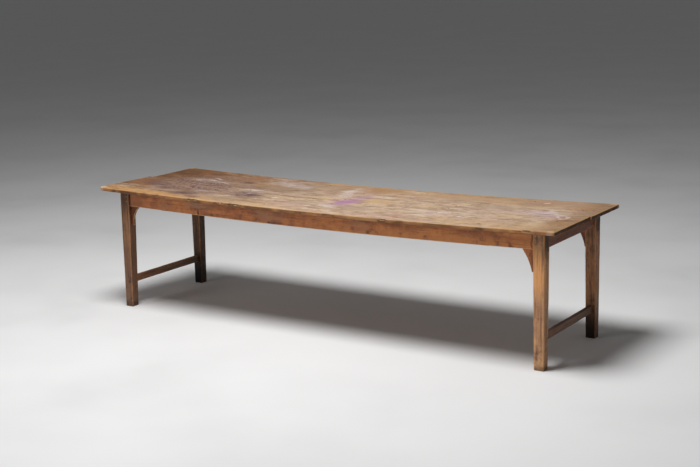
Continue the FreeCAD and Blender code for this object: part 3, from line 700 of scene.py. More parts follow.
def board_finish(name, shift):
    """Scrubbed and stained wood of a top board."""
    top = table().top
    wood = Finish(name)
    flow = wood.wander(1.4, 0.07)
    bands = wood.cloud(grain_density(X, 0.9, 13), shift, 5, 0.6, flow)
    streaks = wood.cloud(grain_density(X, 5.5, 60), shift, 7, 0.70, flow)
    fibre = wood.cloud(grain_density(X, 6, 140), shift, 4, 0.6, flow)
    mottle = wood.cloud((10, 20, 20), shift, 9, 0.72)
    broad = wood.cloud((2.2, 5, 5), shift, 7, 0.62)
    fine = wood.cloud((34, 50, 50), shift, 8, 0.75)
    flecks = wood.cloud((40, 40, 40), shift, 6, 0.8)
    tone = wood.weigh((bands, 0.18), (streaks, 0.30), (mottle, 0.40), (broad, 0.12))

    # Bare wood, yellowed and reddened in places
    wood.colour = wood.lay(top.dark_grain, top.bare_wood, wood.ramp(tone, 0.42, 0.56))
    wood.paint(top.dark_grain, wood.ramp(fine, 0.50, 0.64, 0.45))
    wood.paint(top.dark_grain, wood.ramp(flecks, 0.53, 0.63, 0.40))
    wood.paint(top.yellow_wood, wood.ramp(broad, 0.50, 0.62, 0.45))
    wood.paint(top.rosy_wood, wood.ramp(broad, 0.48, 0.38, 0.45))
    for colour, areas in ((top.yellow_wood, YELLOW_AREAS), (top.rosy_wood, ROSY_AREAS)):
        wood.paint(colour, wood.patches(Z, areas, 1.0), wood.ramp(mottle, 0.38, 0.52))
    yellowed = wood.times(wood.ramp(wood.y, 0.10, 0.36, 0.65), wood.ramp(mottle, 0.34, 0.54), 0.6)
    wood.paint(top.golden_wood, yellowed)
    wood.paint(top.dark_grain, yellowed)

    # Old finish and dirt, a cleaner strip along the front, and the plum spill
    near_left = wood.weigh((wood.x, 1.0), (wood.y, -0.50), (mottle, 0.5), (broad, 0.7))
    browned = wood.ramp(near_left, 0.62, -1.00, 0.9)
    wood.paint(top.brown_wood, browned, wood.ramp(tone, 0.62, 0.42))
    wood.paint(top.brown_wood, browned, 0.30)
    broken = wood.ramp(wood.weigh((streaks, 0.5), (mottle, 0.5)), 0.40, 0.54)
    wood.paint(top.brown_wood, wood.patches(Z, BROWN_AREAS, 1.0), broken)
    wood.paint(top.grey_dirt, wood.patches(Z, GREY_AREAS, 1.0), broken)
    wood.paint(top.russet_wood, wood.patches(Z, RED_AREAS, 1.3), wood.ramp(fine, 0.40, 0.56))
    strip_ends = wood.most(wood.ramp(wood.x, -0.45, -1.10, 0.90), wood.ramp(wood.x, 1.05, 1.30, 0.45))
    clean_front = wood.times(wood.ramp(wood.y, -0.30, -0.38), strip_ends)
    wood.paint(top.golden_wood, clean_front, wood.ramp(mottle, 0.34, 0.52))
    wood.paint(top.brown_wood, clean_front, wood.ramp(streaks, 0.50, 0.64, 0.45))
    clotted = wood.weigh((mottle, 0.6), (streaks, 0.2), (fine, 0.2))
    spilt = wood.patches(Z, PLUM_SPILL, 1.4)
    spill = wood.times(spilt, wood.ramp(clotted, 0.42, 0.56))
    spots = wood.times(wood.patches(Z, PLUM_SPOTS, 1.5), wood.ramp(clotted, 0.34, 0.54))
    wood.paint(top.plum_stain, wood.most(spill, spots))
    wood.paint(top.rosy_wood, spilt, wood.ramp(flecks, 0.46, 0.64, 0.70))
    wood.paint(top.deep_brown, wood.patches(Z, DARK_SPOTS, 1.3), wood.ramp(clotted, 0.36, 0.54))
    wood.paint(top.brown_wood, wood.ramp(wood.x, 1.30, 1.54, 0.60), broken)

    # Smears, strokes and drops of paint, and a pale ring
    wisps = wood.cloud(grain_density(X, 9, 60), shift, 9, 0.72, flow)
    wiped = wood.ramp(wood.weigh((wisps, 0.6), (fine, 0.4)), 0.42, 0.56)
    brushed = wood.ramp(wood.weigh((wisps, 0.5), (fine, 0.5)), 0.31, 0.47)
    ring = wood.maths("SUBTRACT", wood.patches(Z, RING_OUTSIDE, 0.6), wood.patches(Z, RING_INSIDE, 0.6))
    ring = wood.times(wood.most(ring, 0), wood.ramp(fine, 0.36, 0.52))
    smeared = wood.times(wood.patches(Z, PALE_SMEARS, 1.5), wiped)
    hazy = wood.times(wood.patches(Z, PALE_HAZE, 1.6), wood.ramp(clotted, 0.40, 0.56))
    dropped = wood.times(wood.patches(Z, PALE_DROPS, 0.6), wood.ramp(fine, 0.34, 0.46))
    pale = wood.most(smeared, hazy, dropped, ring)
    stroked = wood.times(wood.patches(Z, LILAC_STROKES, 1.7), brushed)
    wood.paint(top.lilac_paint, wood.most(stroked, wood.times(wood.patches(Z, LILAC_TINTS, 1.4), wiped)))
    wood.paint(top.pale_paint, pale)

    # Cracks and specks, edges with a painted highlight on the upper arrises and painted shade on the right
    # ends, chips, rubbed corners and the underside
    checks = wood.ramp(wood.cloud(grain_density(X, 1.8, 80), shift, 3, 0.5, flow), 0.65, 0.73, 0.55)
    specks = wood.ramp(wood.cloud((30, 40, 40), shift, 3), 0.67, 0.75, 0.6)
    nicked = wood.most(checks, specks)
    wood.paint(top.brown_wood, nicked)
    upward = wood.facing[Z]
    # Golden wood on the upper worn arrises: partly worn wood, partly a painted highlight where the arris
    # catches the light
    lit_arris = wood.ramp(wood.weigh((wood.worn, 0.8), (mottle, 0.5)), 0.90, 1.06)
    wood.paint(top.golden_wood, lit_arris, wood.ramp(upward, 0.2, 0.6, 0.7))
    edge_tone = wood.weigh((mottle, 0.6), (streaks, 0.4))
    edge = wood.lay(top.brown_wood, top.dirty_edge, wood.ramp(edge_tone, 0.40, 0.50))
    edge = wood.lay(edge, top.golden_wood, wood.ramp(edge_tone, 0.52, 0.60, 0.7))
    edge = wood.lay(edge, top.golden_wood, wood.patches(Y, EDGE_RUBS))
    stained = wood.times(wood.patches(Y, EDGE_STAINS), wood.ramp(mottle, 0.34, 0.48))
    edge = wood.lay(edge, top.deep_brown, stained)
    # Painted shade: the boards' right end faces, which look away from the light, are laid over with deep
    # brown
    edge = wood.lay(edge, top.deep_brown, wood.ramp(wood.facing[X], 0.5, 0.9, 0.95))
    wood.paint(edge, wood.ramp(upward, 0.55, 0.20))
    wood.paint(top.deep_brown, wood.ramp(wood.chipped, 0.3, 0.9), wood.ramp(mottle, 0.34, 0.52, 0.75))
    wood.paint(top.bare_wood, wood.patches(Z, RUBBED_CORNERS, 1.0), wood.ramp(mottle, 0.30, 0.46))
    below = wood.lay(top.underside, top.dirty_edge, wood.ramp(tone, 0.44, 0.62, 0.35))
    below = wood.lay(below, top.brown_wood, wood.ramp(streaks, 0.48, 0.60, 0.55))
    below = wood.lay(below, top.deep_brown, nicked)
    wood.paint(below, wood.ramp(upward, -0.3, -0.8))

    relief = wood.weigh((fibre, 0.5), (streaks, 0.3), (mottle, 0.3), (checks, -0.5))
    roughness = wood.ramp(wood.weigh((mottle, 0.7), (pale, -0.2)), 0.1, 0.5, 0.9)
    return wood.close(wood.colour, roughness, relief, 0.0016, 0.15)


def frame_finish(name, along, stain, shift=(0, 0, 0)):
    """Starts a rubbed finish of a dark, a main and a light stain, with its grain along an axis."""
    dark, main, light = stain
    wood = Finish(name)
    flow = wood.wander(3.0, 0.03)
    bands = wood.cloud(grain_density(along, 1.8, 30), shift, 6, 0.62, flow)
    wood.fibre = wood.cloud(grain_density(along, 6, 110), shift, 6, 0.70, flow)
    wood.mottle = wood.cloud((17, 17, 17), shift, 9, 0.74)
    wood.tone = wood.weigh((bands, 0.28), (wood.fibre, 0.32), (wood.mottle, 0.40))
    wood.colour = wood.lay(dark, main, wood.ramp(wood.tone, 0.40, 0.49))
    wood.paint(light, wood.ramp(wood.tone, 0.50, 0.59))
    cracks = wood.cloud(grain_density(along, 2.2, 110), shift, 3, 0.5, flow)
    wood.checks = wood.ramp(cracks, 0.62, 0.70, 0.65)
    return wood


def close_frame_finish(wood, worn_colour, check_colour, wear=0.8, dirt=None):
    """Adds cracks, worn edges and, where a mask is given, a dark foot of dirt and painted shade to a frame
    finish and closes it.
    """
    wood.paint(check_colour, wood.checks)
    patchy = wood.weigh((wood.ramp(wood.worn, 0.7, 1.0), 0.75), (wood.mottle, 0.6))
    wood.paint(worn_colour, wood.ramp(patchy, 0.84, 1.12, wear))
    # The foot colour stands for dirt and for painted shade
    if dirt:
        wood.paint(table().frame.foot_dirt_and_shade, dirt)
    relief = wood.weigh((wood.fibre, 0.6), (wood.mottle, 0.4), (wood.checks, -0.5))
    return wood.close(wood.colour, wood.ramp(wood.mottle, 0.1, 0.8, 0.9), relief, 0.0014, 0.2)


def plain_frame_finish(name, along, stain, shift=(0, 0, 0)):
    """Old stain of a piece that has no marks of its own."""
    return close_frame_finish(frame_finish(name, along, stain, shift), stain[2], stain[0], 0.6)


def long_apron_finish(name, front):
    """Red brown stain of a long apron, rubbed and soiled in places on the front."""
    colours = table().frame
    wood = frame_finish(name, X, (colours.plum_brown, colours.red_brown, colours.orange_brown))
    wood.checks = wood.times(wood.checks, 0.5)
    blotches = wood.cloud((14, 14, 14), (3, 0, 6), 5, 0.6)
    wood.paint(colours.orange_brown, wood.ramp(blotches, 0.50, 0.64, 0.40))
    wood.paint(colours.plum_brown, wood.ramp(blotches, 0.48, 0.36, 0.40))
    if front:
        broken = wood.ramp(wood.mottle, 0.36, 0.52)
        rubbed = wood.times(wood.ramp(wood.x, -0.5, 0.9, 0.7), wood.ramp(wood.z, 0.710, 0.650))
        wood.paint(colours.orange_brown, wood.most(rubbed, wood.ramp(wood.x, 1.20, 1.36, 0.35)), broken)
        wood.paint(colours.grey_dirt, wood.patches(Y, APRON_SOIL, 1.0), broken)
        stained = wood.times(wood.patches(Y, APRON_STAINS, 1.0), wood.ramp(wood.mottle, 0.38, 0.54))
        wood.paint(colours.plum_brown, stained)
        wood.paint(colours.dark_brown, wood.patches(Y, APRON_KNOTS, 0.8))
    return close_frame_finish(wood, colours.worn_wood, colours.dark_brown)


def leg_finish(name, stain, shift, dark_head=0.9, dark_foot=0.0, honey_middle=0.0, streaky=0.6,
               wear=0.35):
    """Stain of one leg, with streaks, a dark head of blotched stain and painted shade, painted shadow on
    the head's faces that look along +X, a lighter honey middle on the front, and a scuffed foot or a dark
    foot of dirt and painted shade.
    """
    colours = table().frame
    wood = frame_finish(name, Z, stain, shift)
    streaks = wood.cloud(grain_density(Z, 3.5, 75), shift, 7, 0.68)
    wood.paint(stain[0], wood.ramp(streaks, 0.50, 0.60, streaky))
    in_front = wood.ramp(wood.facing[Y], 0.3, -0.7)
    # Lighter honey wood on the middle of the front faces
    rubbed = wood.between(wood.z, 0.41, 0.66, 0.06, honey_middle)
    wood.paint(colours.honey_wood, rubbed, in_front, wood.ramp(streaks, 0.60, 0.46))
    # Darker head: partly blotched stain, partly painted shade under the top's overhang
    head = wood.maths("ADD", wood.z, wood.times(wood.mottle, 0.25))
    wood.paint(colours.dark_brown, wood.ramp(head, 0.66, 0.84, dark_head), wood.ramp(wood.tone, 0.62, 0.42))
    # Painted shadow of the top's overhang on the head's faces that look along +X
    wood.paint(colours.dark_brown, wood.ramp(wood.facing[X], 0.4, 0.8), wood.ramp(head, 0.70, 0.80, 0.85))
    scuffed = wood.times(wood.ramp(wood.z, 0.20, 0.03, 0.75), wood.ramp(wood.mottle, 0.36, 0.52))
    wood.paint(stain[2], scuffed, in_front)
    # Darker towards the floor: a narrow band of dirt on every foot, and on the rear legs (dark_foot) a
    # deeper painted shade where they stand in the table's shadow
    low = wood.maths("ADD", wood.z, wood.times(wood.mottle, 0.15))
    dirt = wood.times(wood.ramp(low, 0.38, 0.13, dark_foot), wood.ramp(wood.facing[X], 1.6, 0.3))
    dirt = wood.most(dirt, wood.ramp(low, 0.125, 0.085, 0.55))
    return close_frame_finish(wood, colours.honey_wood, colours.dark_brown, wear, dirt)


def stretcher_finish(name, shift, warmth_and_highlight, worn_colour):
    """Dull stain of a stretcher, warmer towards the front as stain and painted highlight, and darker
    towards the rear leg as painted shade.
    """
    colours = table().frame
    wood = frame_finish(name, Y, (colours.dusky_brown, colours.rail_brown, colours.grey_dirt), shift)
    # Warmer, lighter stain towards the front: partly the stain, partly a painted highlight
    wood.paint(colours.red_brown, wood.ramp(wood.y, 0.10, -0.28, warmth_and_highlight), wood.ramp(wood.tone, 0.40, 0.54))
    # Painted shade towards the rear leg, under the table
    wood.paint(colours.dark_brown, wood.ramp(wood.y, 0.10, 0.33, 0.60))
    return close_frame_finish(wood, worn_colour, colours.dusky_brown, 0.6)


def bracket_finish(name, stain, shift, sawn):
    """Stain of one bracket; sawn is how much of its hollow edge is bare sawn wood, made paler as painted
    light.
    """
    wood = frame_finish(name, Z, stain, shift)
    # Bare sawn wood on the hollow edge, made paler as painted light
    bare = wood.ramp(wood.facing[X], 0.25, 0.70, sawn)
    wood.paint(table().frame.lit_sawn_wood, bare, wood.ramp(wood.mottle, 0.30, 0.46))
    return close_frame_finish(wood, stain[2], stain[0], 0.9)


def iron_finish(name):
    """Forged iron, dark and rusted."""
    fasteners = table().fasteners
    iron = Finish(name)
    pitted = iron.cloud((300, 300, 300), detail=4)
    rusted = iron.cloud((90, 90, 90), (3, 1, 2))
    colour = iron.lay(fasteners.iron, fasteners.rust, iron.ramp(rusted, 0.42, 0.60))
    return iron.close(colour, iron.ramp(pitted, 0.0, 0.8, 0.9), pitted, 0.0004)


def floor_finish(name):
    """Plain pale floor with a hardly visible variation."""
    pale = table().stage.floor_colour
    floor = Finish(name)
    cloud = floor.cloud((0.8, 0.8, 0.8), detail=3)
    colour = floor.lay([value * 0.97 for value in pale], pale, floor.ramp(cloud, 0.35, 0.65))
    return floor.close(colour, floor.ramp(cloud, 0.0, 0.6, 0.8), cloud, 0.0002, 0.2)


def round_corner(piece, x, y, radius):
    """Rounds the upright edge of a board at a corner."""
    def at_corner(edge):
        return spans(edge, Z, 0.01) and all((Vector((x, y)) - v.co.xy).length < 0.003 for v in edge.verts)
    if not pick(piece, "EDGE", at_corner):
        raise RuntimeError("no corner to round on " + piece.name)
    bpy.ops.mesh.bevel(offset=radius, segments=8, profile=0.5, affect="EDGES", clamp_overlap=False)


def chip_edge(piece, edge_y, chips):
    """Breaks small uneven chips out of the upper edge of a board."""
    inward = 1 if edge_y < 0 else -1
    for number, (place, half, depth) in enumerate(chips):
        top_z = UNDER_BOARDS + table().top.thickness + rise(place)

        def near_edge(point, reach, width):
            across, down = abs(point.y - edge_y), top_z - point.z
            return abs(point.x - place) < reach and across < width and down < width
        if pick(piece, "FACE", lambda f: near_edge(f.calc_center_median(), half + CHIP_MARGIN, CHIP_FIELD)):
            bpy.ops.mesh.subdivide(number_cuts=3)
        for part, width, share in CHIP_BITES:
            if pick(piece, "VERT", lambda v: near_edge(v.co, half * part, width)):
                bpy.ops.transform.translate(value=(0, inward * depth * share, -depth * share * 0.8))
        if pick(piece, "VERT", lambda v: near_edge(v.co, half, 0.012)):
            bpy.ops.transform.vertex_random(offset=depth * 0.25, uniform=0, normal=0, seed=60 + number)
        if pick(piece, "VERT", lambda v: near_edge(v.co, half * 0.8, depth + 0.005)):
            mark(piece, "chipped")


def shape_board(name, low, high, skew, corners, seam_y):
    """Saws, settles and rounds one top board, given by its corners along X and Y."""
    top = table().top
    piece = start_block(name, (*low, UNDER_BOARDS), (*high, UNDER_BOARDS + top.thickness))
    settle(piece, low[X], high[X])
    if skew:
        trim((*low, 0), (low[Y] - high[Y], skew, 0))
    for x, y, radius in corners:
        round_corner(piece, x, y, radius)
    slice_along(Y, steps(low[Y], high[Y], BOARD_CUT_Y))
    slice_along(X, steps(low[X], high[X], BOARD_CUT_X))
    soften(piece, top.seam_arris, lambda e: spans(e, X, 0.001)
           and all(abs(v.co.y - seam_y) < NEAR for v in e.verts), 2, False)
    soften(piece, top.arris, lambda e: all(abs(v.co.y - seam_y) > 0.003 for v in e.verts))
    return piece


class FARMTABLE_OT_top_boards(bpy.types.Operator):
    """Lays the two worn top boards"""

    bl_idname = "farmtable.top_boards"
    bl_label = "Top boards"

    def wear_board(self, piece, edge_y, chips, node, seed, shift):
        """Chips and roughens a board, gives it its waves and sets it in place."""
        chip_edge(piece, edge_y, chips)
        roughen(piece, BOARD_STEP, seed)
        undulate(piece, BOARD_WAVE, table().top.unevenness)
        finish = board_finish(node.replace("top_board", "scrubbed") + "_board", shift)
        set_in_place(piece, finish, node)

    def execute(self, context):
        low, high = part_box("top_board_front")
        left = low.x - LONG_END
        front = shape_board("worn_board_front", (left, low.y), high.xy, table().top.end_skew,
                            zip((left, high.x), (low.y, low.y), FRONT_CORNERS), high.y)
        self.wear_board(front, low.y, FRONT_CHIPS, "top_board_front", seed=3, shift=(0, 0, 0))
        low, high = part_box("top_board_rear")
        rear = shape_board("worn_board_rear", low.xy, high.xy, 0,
                           zip((low.x, high.x), (high.y, high.y), REAR_CORNERS), low.y)
        self.wear_board(rear, high.y, REAR_CHIPS, "top_board_rear", seed=5, shift=(4.3, 2.7, 0))
        return {"FINISHED"}


class FARMTABLE_OT_legs(bpy.types.Operator):
    """Stands the four tapered legs"""

    bl_idname = "farmtable.legs"
    bl_label = "Legs"

    def execute(self, context):
        colours = table().frame
        low, high = FRONT_LEFT_LEG
        leg = start_block("worn_leg_front_left", low, high)
        slice_along(Z, [taper_top()])
        for axis in (X, Y):
            inward = Vector((0, 0, 0))
            inward[axis] = -colours.foot_taper
            pick(leg, "VERT", lambda v: v.co.z < NEAR and abs(v.co[axis] - high[axis]) < NEAR)
            bpy.ops.transform.translate(value=inward)
        trim_to_curve((low.x + high.x) / 2, UNDER_BOARDS - BOARD_GAP)
        soften(leg, colours.leg_arris, lambda e: spans(e, Z, 0.02))
        soften(leg, colours.leg_arris * 0.7, lambda e: all(v.co.z < NEAR for v in e.verts))
        slice_along(Z, steps(0, taper_top(), CUT) + steps(taper_top(), high.z, LEG_HEAD_CUT))
        for axis in (X, Y):
            places = [low[axis] + FACE_CUT, high[axis] - TAPERED_FACE_CUT]
            slice_along(axis, places)
            pick(leg, "VERT", lambda v: v.co.z > 0.02 and any(abs(v.co[axis] - p) < NEAR for p in places))
            mark(leg, "worn", 0)
        right = copy_across(leg, "worn_leg_front_right", X, FRAME_MIDDLE)
        legs = [leg, right, copy_across(leg, "worn_leg_rear_left", Y),
                copy_across(right, "worn_leg_rear_right", Y)]
        # dark_head is partly painted shade; dark_foot paints shade on the rear legs' lower parts
        looks = [((colours.dusky_brown, colours.dull_brown, colours.rail_brown), (1, 3, 0),
                  {"honey_middle": 0.15, "streaky": 0.25, "wear": 0.22}),
                 ((colours.dull_brown, colours.tan_brown, colours.worn_wood), (5, 2, 1),
                  {"dark_head": 0.6, "honey_middle": 1.0, "wear": 0.4}),
                 ((colours.dark_brown, colours.shaded_brown, colours.dull_brown), (2, 7, 3),
                  {"dark_foot": 1.0}),
                 ((colours.dusky_brown, colours.back_brown, colours.rail_brown), (8, 4, 5),
                  {"dark_head": 0.7, "dark_foot": 0.95})]
        for seed, (piece, (stain, shift, use)) in enumerate(zip(legs, looks), 11):
            finish = leg_finish(piece.name.replace("worn_leg", "leg_stain"), stain, shift, **use)
            wear_timber(piece, finish, seed, LEG_WAVE, lambda v: FOOT_ZONE < v.co.z < LEG_HEAD,
                        lambda v: v.co.z > FOOT_ZONE)
        return {"FINISHED"}


class FARMTABLE_OT_long_aprons(bpy.types.Operator):
    """Fits the two long aprons between the legs"""

    bl_idname = "farmtable.long_aprons"
    bl_label = "Long aprons"

    def execute(self, context):
        low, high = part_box("apron_front")
        left, right = FRONT_LEFT_LEG[1].x, FRONT_RIGHT_LEG[0].x
        bottom = apron_bottom()
        front = start_block("stained_apron_front", (left, low.y, bottom),
                            (right, high.y, UNDER_BOARDS - BOARD_GAP))
        settle(front, left, right)
        slice_along(X, steps(left, right, CUT))
        slice_along(Y, [(low.y + high.y) / 2])
        slice_along(Z, steps(bottom, UNDER_BOARDS + END_RISE, LONG_APRON_CUT_Z))
        soften(front, table().frame.apron_arris, lambda e: spans(e, X, 0.001)
               and all(v.co.z - rise(v.co.x) < bottom + 0.002 for v in e.verts))
        rear = copy_across(front, "stained_apron_rear", Y)
        for piece, seed in ((front, 21), (rear, 22)):
            finish = long_apron_finish(piece.name + "_finish", piece == front)
            wear_timber(piece, finish, seed, LONG_APRON_WAVE,
                        wavy=lambda v: left + SHOULDER_ZONE < v.co.x < right - SHOULDER_ZONE)
        return {"FINISHED"}


class FARMTABLE_OT_end_aprons(bpy.types.Operator):
    """Fits the two end aprons between the legs"""

    bl_idname = "farmtable.end_aprons"
    bl_label = "End aprons"

    def execute(self, context):
        colours = table().frame
        low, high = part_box("apron_left")
        reach = -FRONT_LEFT_LEG[1].y
        middle = (low.x + high.x) / 2
        left = start_block("stained_apron_left", (low.x, -reach, low.z), (high.x, reach, high.z + SPARE))
        trim_to_curve(middle, UNDER_BOARDS - BOARD_GAP)
        soften(left, colours.apron_arris, lambda e: spans(e, Y, 0.01)
               and all(v.co.z < low.z + NEAR for v in e.verts))
        slice_along(Y, steps(-reach, reach, CUT))
        slice_along(X, [middle])
        slice_along(Z, steps(low.z, UNDER_BOARDS - BOARD_GAP + rise(middle), END_APRON_CUT_Z))
        right = copy_across(left, "stained_apron_right", X, FRAME_MIDDLE)
        stain = (colours.dusky_brown, colours.plum_brown, colours.red_brown)
        for piece, seed in ((left, 31), (right, 32)):
            finish = plain_frame_finish(piece.name + "_finish", Y, stain, (seed, 3, 1))
            wear_timber(piece, finish, seed, END_APRON_WAVE,
                        wavy=lambda v: abs(v.co.y) < reach - SHOULDER_ZONE)
        return {"FINISHED"}


def bracket_hollow(side):
    """Middle, radius and lower end of a bracket's hollow curve, as places along X and Z."""
    sizes = table().frame
    toe, straight, hollow = sizes.left_toe, sizes.left_straight, sizes.left_hollow
    leg_face = FRONT_LEFT_LEG[1].x
    if side > 0:
        toe, straight, hollow = sizes.right_toe, sizes.right_straight, sizes.right_hollow
        leg_face = FRONT_RIGHT_LEG[0].x
    tip = Vector((leg_face - side * sizes.bracket_length, taper_top()))
    end = Vector((leg_face - side * toe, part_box("bracket_front_left")[0].z + straight))
    chord = end - tip
    away = Vector((side * chord.y, -side * chord.x)).normalized()
    radius = (chord.length ** 2 / 4 + hollow ** 2) / (2 * hollow)
    return (tip + end) / 2 + away * (radius - hollow), radius, end


class FARMTABLE_OT_brackets(bpy.types.Operator):
    """Cuts the four curved brackets under the long aprons"""

    bl_idname = "farmtable.brackets"
    bl_label = "Brackets"

    def saw_bracket(self, node, side):
        """Saws one bracket to its hollow curve; side is -1 at the left leg and 1 at the right."""
        low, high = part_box(node)
        outer, inner = (high.x, low.x) if side < 0 else (low.x, high.x)
        centre, radius, end = bracket_hollow(side)
        head = apron_bottom()
        piece = start_block("curved_" + node, low, (high.x, high.y, high.z + SPARE))
        heights = steps(low.z, head + rise(outer), BRACKET_CUT_Z)
        slice_along(Z, heights)
        for height in (low.z, *heights):
            curve_x = end.x
            if height > end.y:
                curve_x = centre.x + side * math.sqrt(radius ** 2 - (height - centre.y) ** 2)
            pick(piece, "VERT", lambda v: abs(v.co.z - height) < NEAR and abs(v.co.x - outer) < NEAR)
            bpy.ops.transform.translate(value=(curve_x - outer, 0, 0))
        trim_to_curve((low.x + high.x) / 2, head - BRACKET_GAP)
        trim((outer + side * BLUNT_TIP, 0, 0), (-side, 0, 0))
        soften(piece, table().frame.bracket_arris, lambda e: not spans(e, Y, NEAR)
               and any(abs(v.co.x - inner) > NEAR for v in e.verts)
               and any(v.co.z < head + rise(v.co.x) - 0.001 for v in e.verts), 2)
        return piece

    def execute(self, context):
        colours = table().frame
        left = self.saw_bracket("bracket_front_left", -1)
        right = self.saw_bracket("bracket_front_right", 1)
        pieces = [left, right, copy_across(left, "curved_bracket_rear_left", Y),
                  copy_across(right, "curved_bracket_rear_right", Y)]
        looks = [((colours.dark_brown, colours.bracket_brown, colours.bracket_brown), 0.95),
                 ((colours.plum_brown, colours.red_brown, colours.orange_brown), 0),
                 ((colours.dark_brown, colours.shaded_brown, colours.plum_brown), 0.4),
                 ((colours.dusky_brown, colours.plum_brown, colours.orange_brown), 0)]
        for number, (piece, (stain, sawn)) in enumerate(zip(pieces, looks)):
            finish = bracket_finish(piece.name + "_finish", stain, (number, 2, 4), sawn)
            set_in_place(piece, finish)
        return {"FINISHED"}


class FARMTABLE_OT_stretchers(bpy.types.Operator):
    """Fits the two low stretchers between the end legs"""

    bl_idname = "farmtable.stretchers"
    bl_label = "Stretchers"

    def execute(self, context):
        colours = table().frame
        low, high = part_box("stretcher_left")
        reach = high.y - TENON
        left = start_block("worn_stretcher_left", (low.x, -reach, low.z), (high.x, reach, high.z))
        for side in (-1, 1):
            pick(left, "FACE", lambda f: f.normal.y * side > 0.9)
            bpy.ops.mesh.inset(thickness=TENON_SHOULDER, depth=0)
            bpy.ops.mesh.extrude_region_move(TRANSFORM_OT_translate={"value": (0, side * TENON, 0)})
        soften(left, colours.rail_arris, lambda e: spans(e, Y, 0.3))
        slice_along(Y, steps(-reach, reach, CUT))
        slice_along(Z, [low.z + FACE_CUT, high.z - FACE_CUT])
        right = copy_across(left, "worn_stretcher_right", X, FRAME_MIDDLE)

        def bare(vertex):
            return abs(vertex.co.y) < reach - SHOULDER_ZONE
        looks = ((left, 41, 0.45, colours.orange_brown), (right, 42, 0.10, colours.rail_brown))
        for piece, seed, warmth_and_highlight, worn_colour in looks:
            finish = stretcher_finish(piece.name + "_finish", (seed, 5, 2), warmth_and_highlight, worn_colour)
            wear_timber(piece, finish, seed, RAIL_WAVE, bare, bare, RAIL_STEP)
        return {"FINISHED"}


class FARMTABLE_OT_bearers(bpy.types.Operator):
    """Fits the three bearers that carry the boards between the long aprons"""

    bl_idname = "farmtable.bearers"
    bl_label = "Bearers"

    def execute(self, context):
        colours = table().frame
        low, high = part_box("bearer_2")
        reach = high.y - TAIL
        middle = start_block("dovetailed_bearer_2", (low.x, -reach, low.z), (high.x, reach, high.z))
        centre_x = (low.x + high.x) / 2
        for side in (-1, 1):
            pick(middle, "FACE", lambda f: f.normal.y * side > 0.9)
            for length, width, end in ((0, TAIL_ROOT, reach), (TAIL, TAIL_TIP, high.y)):
                bpy.ops.mesh.extrude_region_move(TRANSFORM_OT_translate={"value": (0, side * length, 0)})
                bpy.ops.transform.resize(value=(width, 1, 1), center_override=(centre_x, side * end, 0))
        soften(middle, BEARER_ARRIS, lambda e: spans(e, Y, 0.3))
        slice_along(Y, steps(-reach, reach, BEARER_CUT))
        recalculate(middle)
        pieces = [middle]
        for name in ("bearer_1", "bearer_3"):
            pieces.append(copy_piece(middle, "dovetailed_" + name))
            node_low, node_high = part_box(name)
            shift = (node_low.x + node_high.x) / 2 - centre_x
            bpy.ops.transform.translate(value=(shift, 0, rise(centre_x + shift) - rise(centre_x)))
            apply_place()
        stain = (colours.shaded_brown, colours.raw_wood, colours.dull_brown)
        for number, piece in enumerate(pieces):
            undulate(piece, RAIL_WAVE, colours.unevenness, lambda v: abs(v.co.y) < reach - SHOULDER_ZONE)
            finish = plain_frame_finish(piece.name + "_finish", Y, stain, (number, 6, 3))
            set_in_place(piece, finish)
        return {"FINISHED"}


def repeat(model, name, places):
    """Copies a small model to many places with turns, and joins the copies to one piece."""
    copies = []
    for place, turn in places:
        twin = copy_piece(model, name)
        twin.location = place
        twin.rotation_euler = turn
        copies.append(twin)
    make_active(model)
    bpy.ops.object.delete()
    deselect()
    for twin in copies:
        twin.select_set(True)
    bpy.context.view_layer.objects.active = copies[0]
    bpy.ops.object.join()
    piece = bpy.context.object
    apply_place()
    piece.name = piece.data.name = name
    return piece


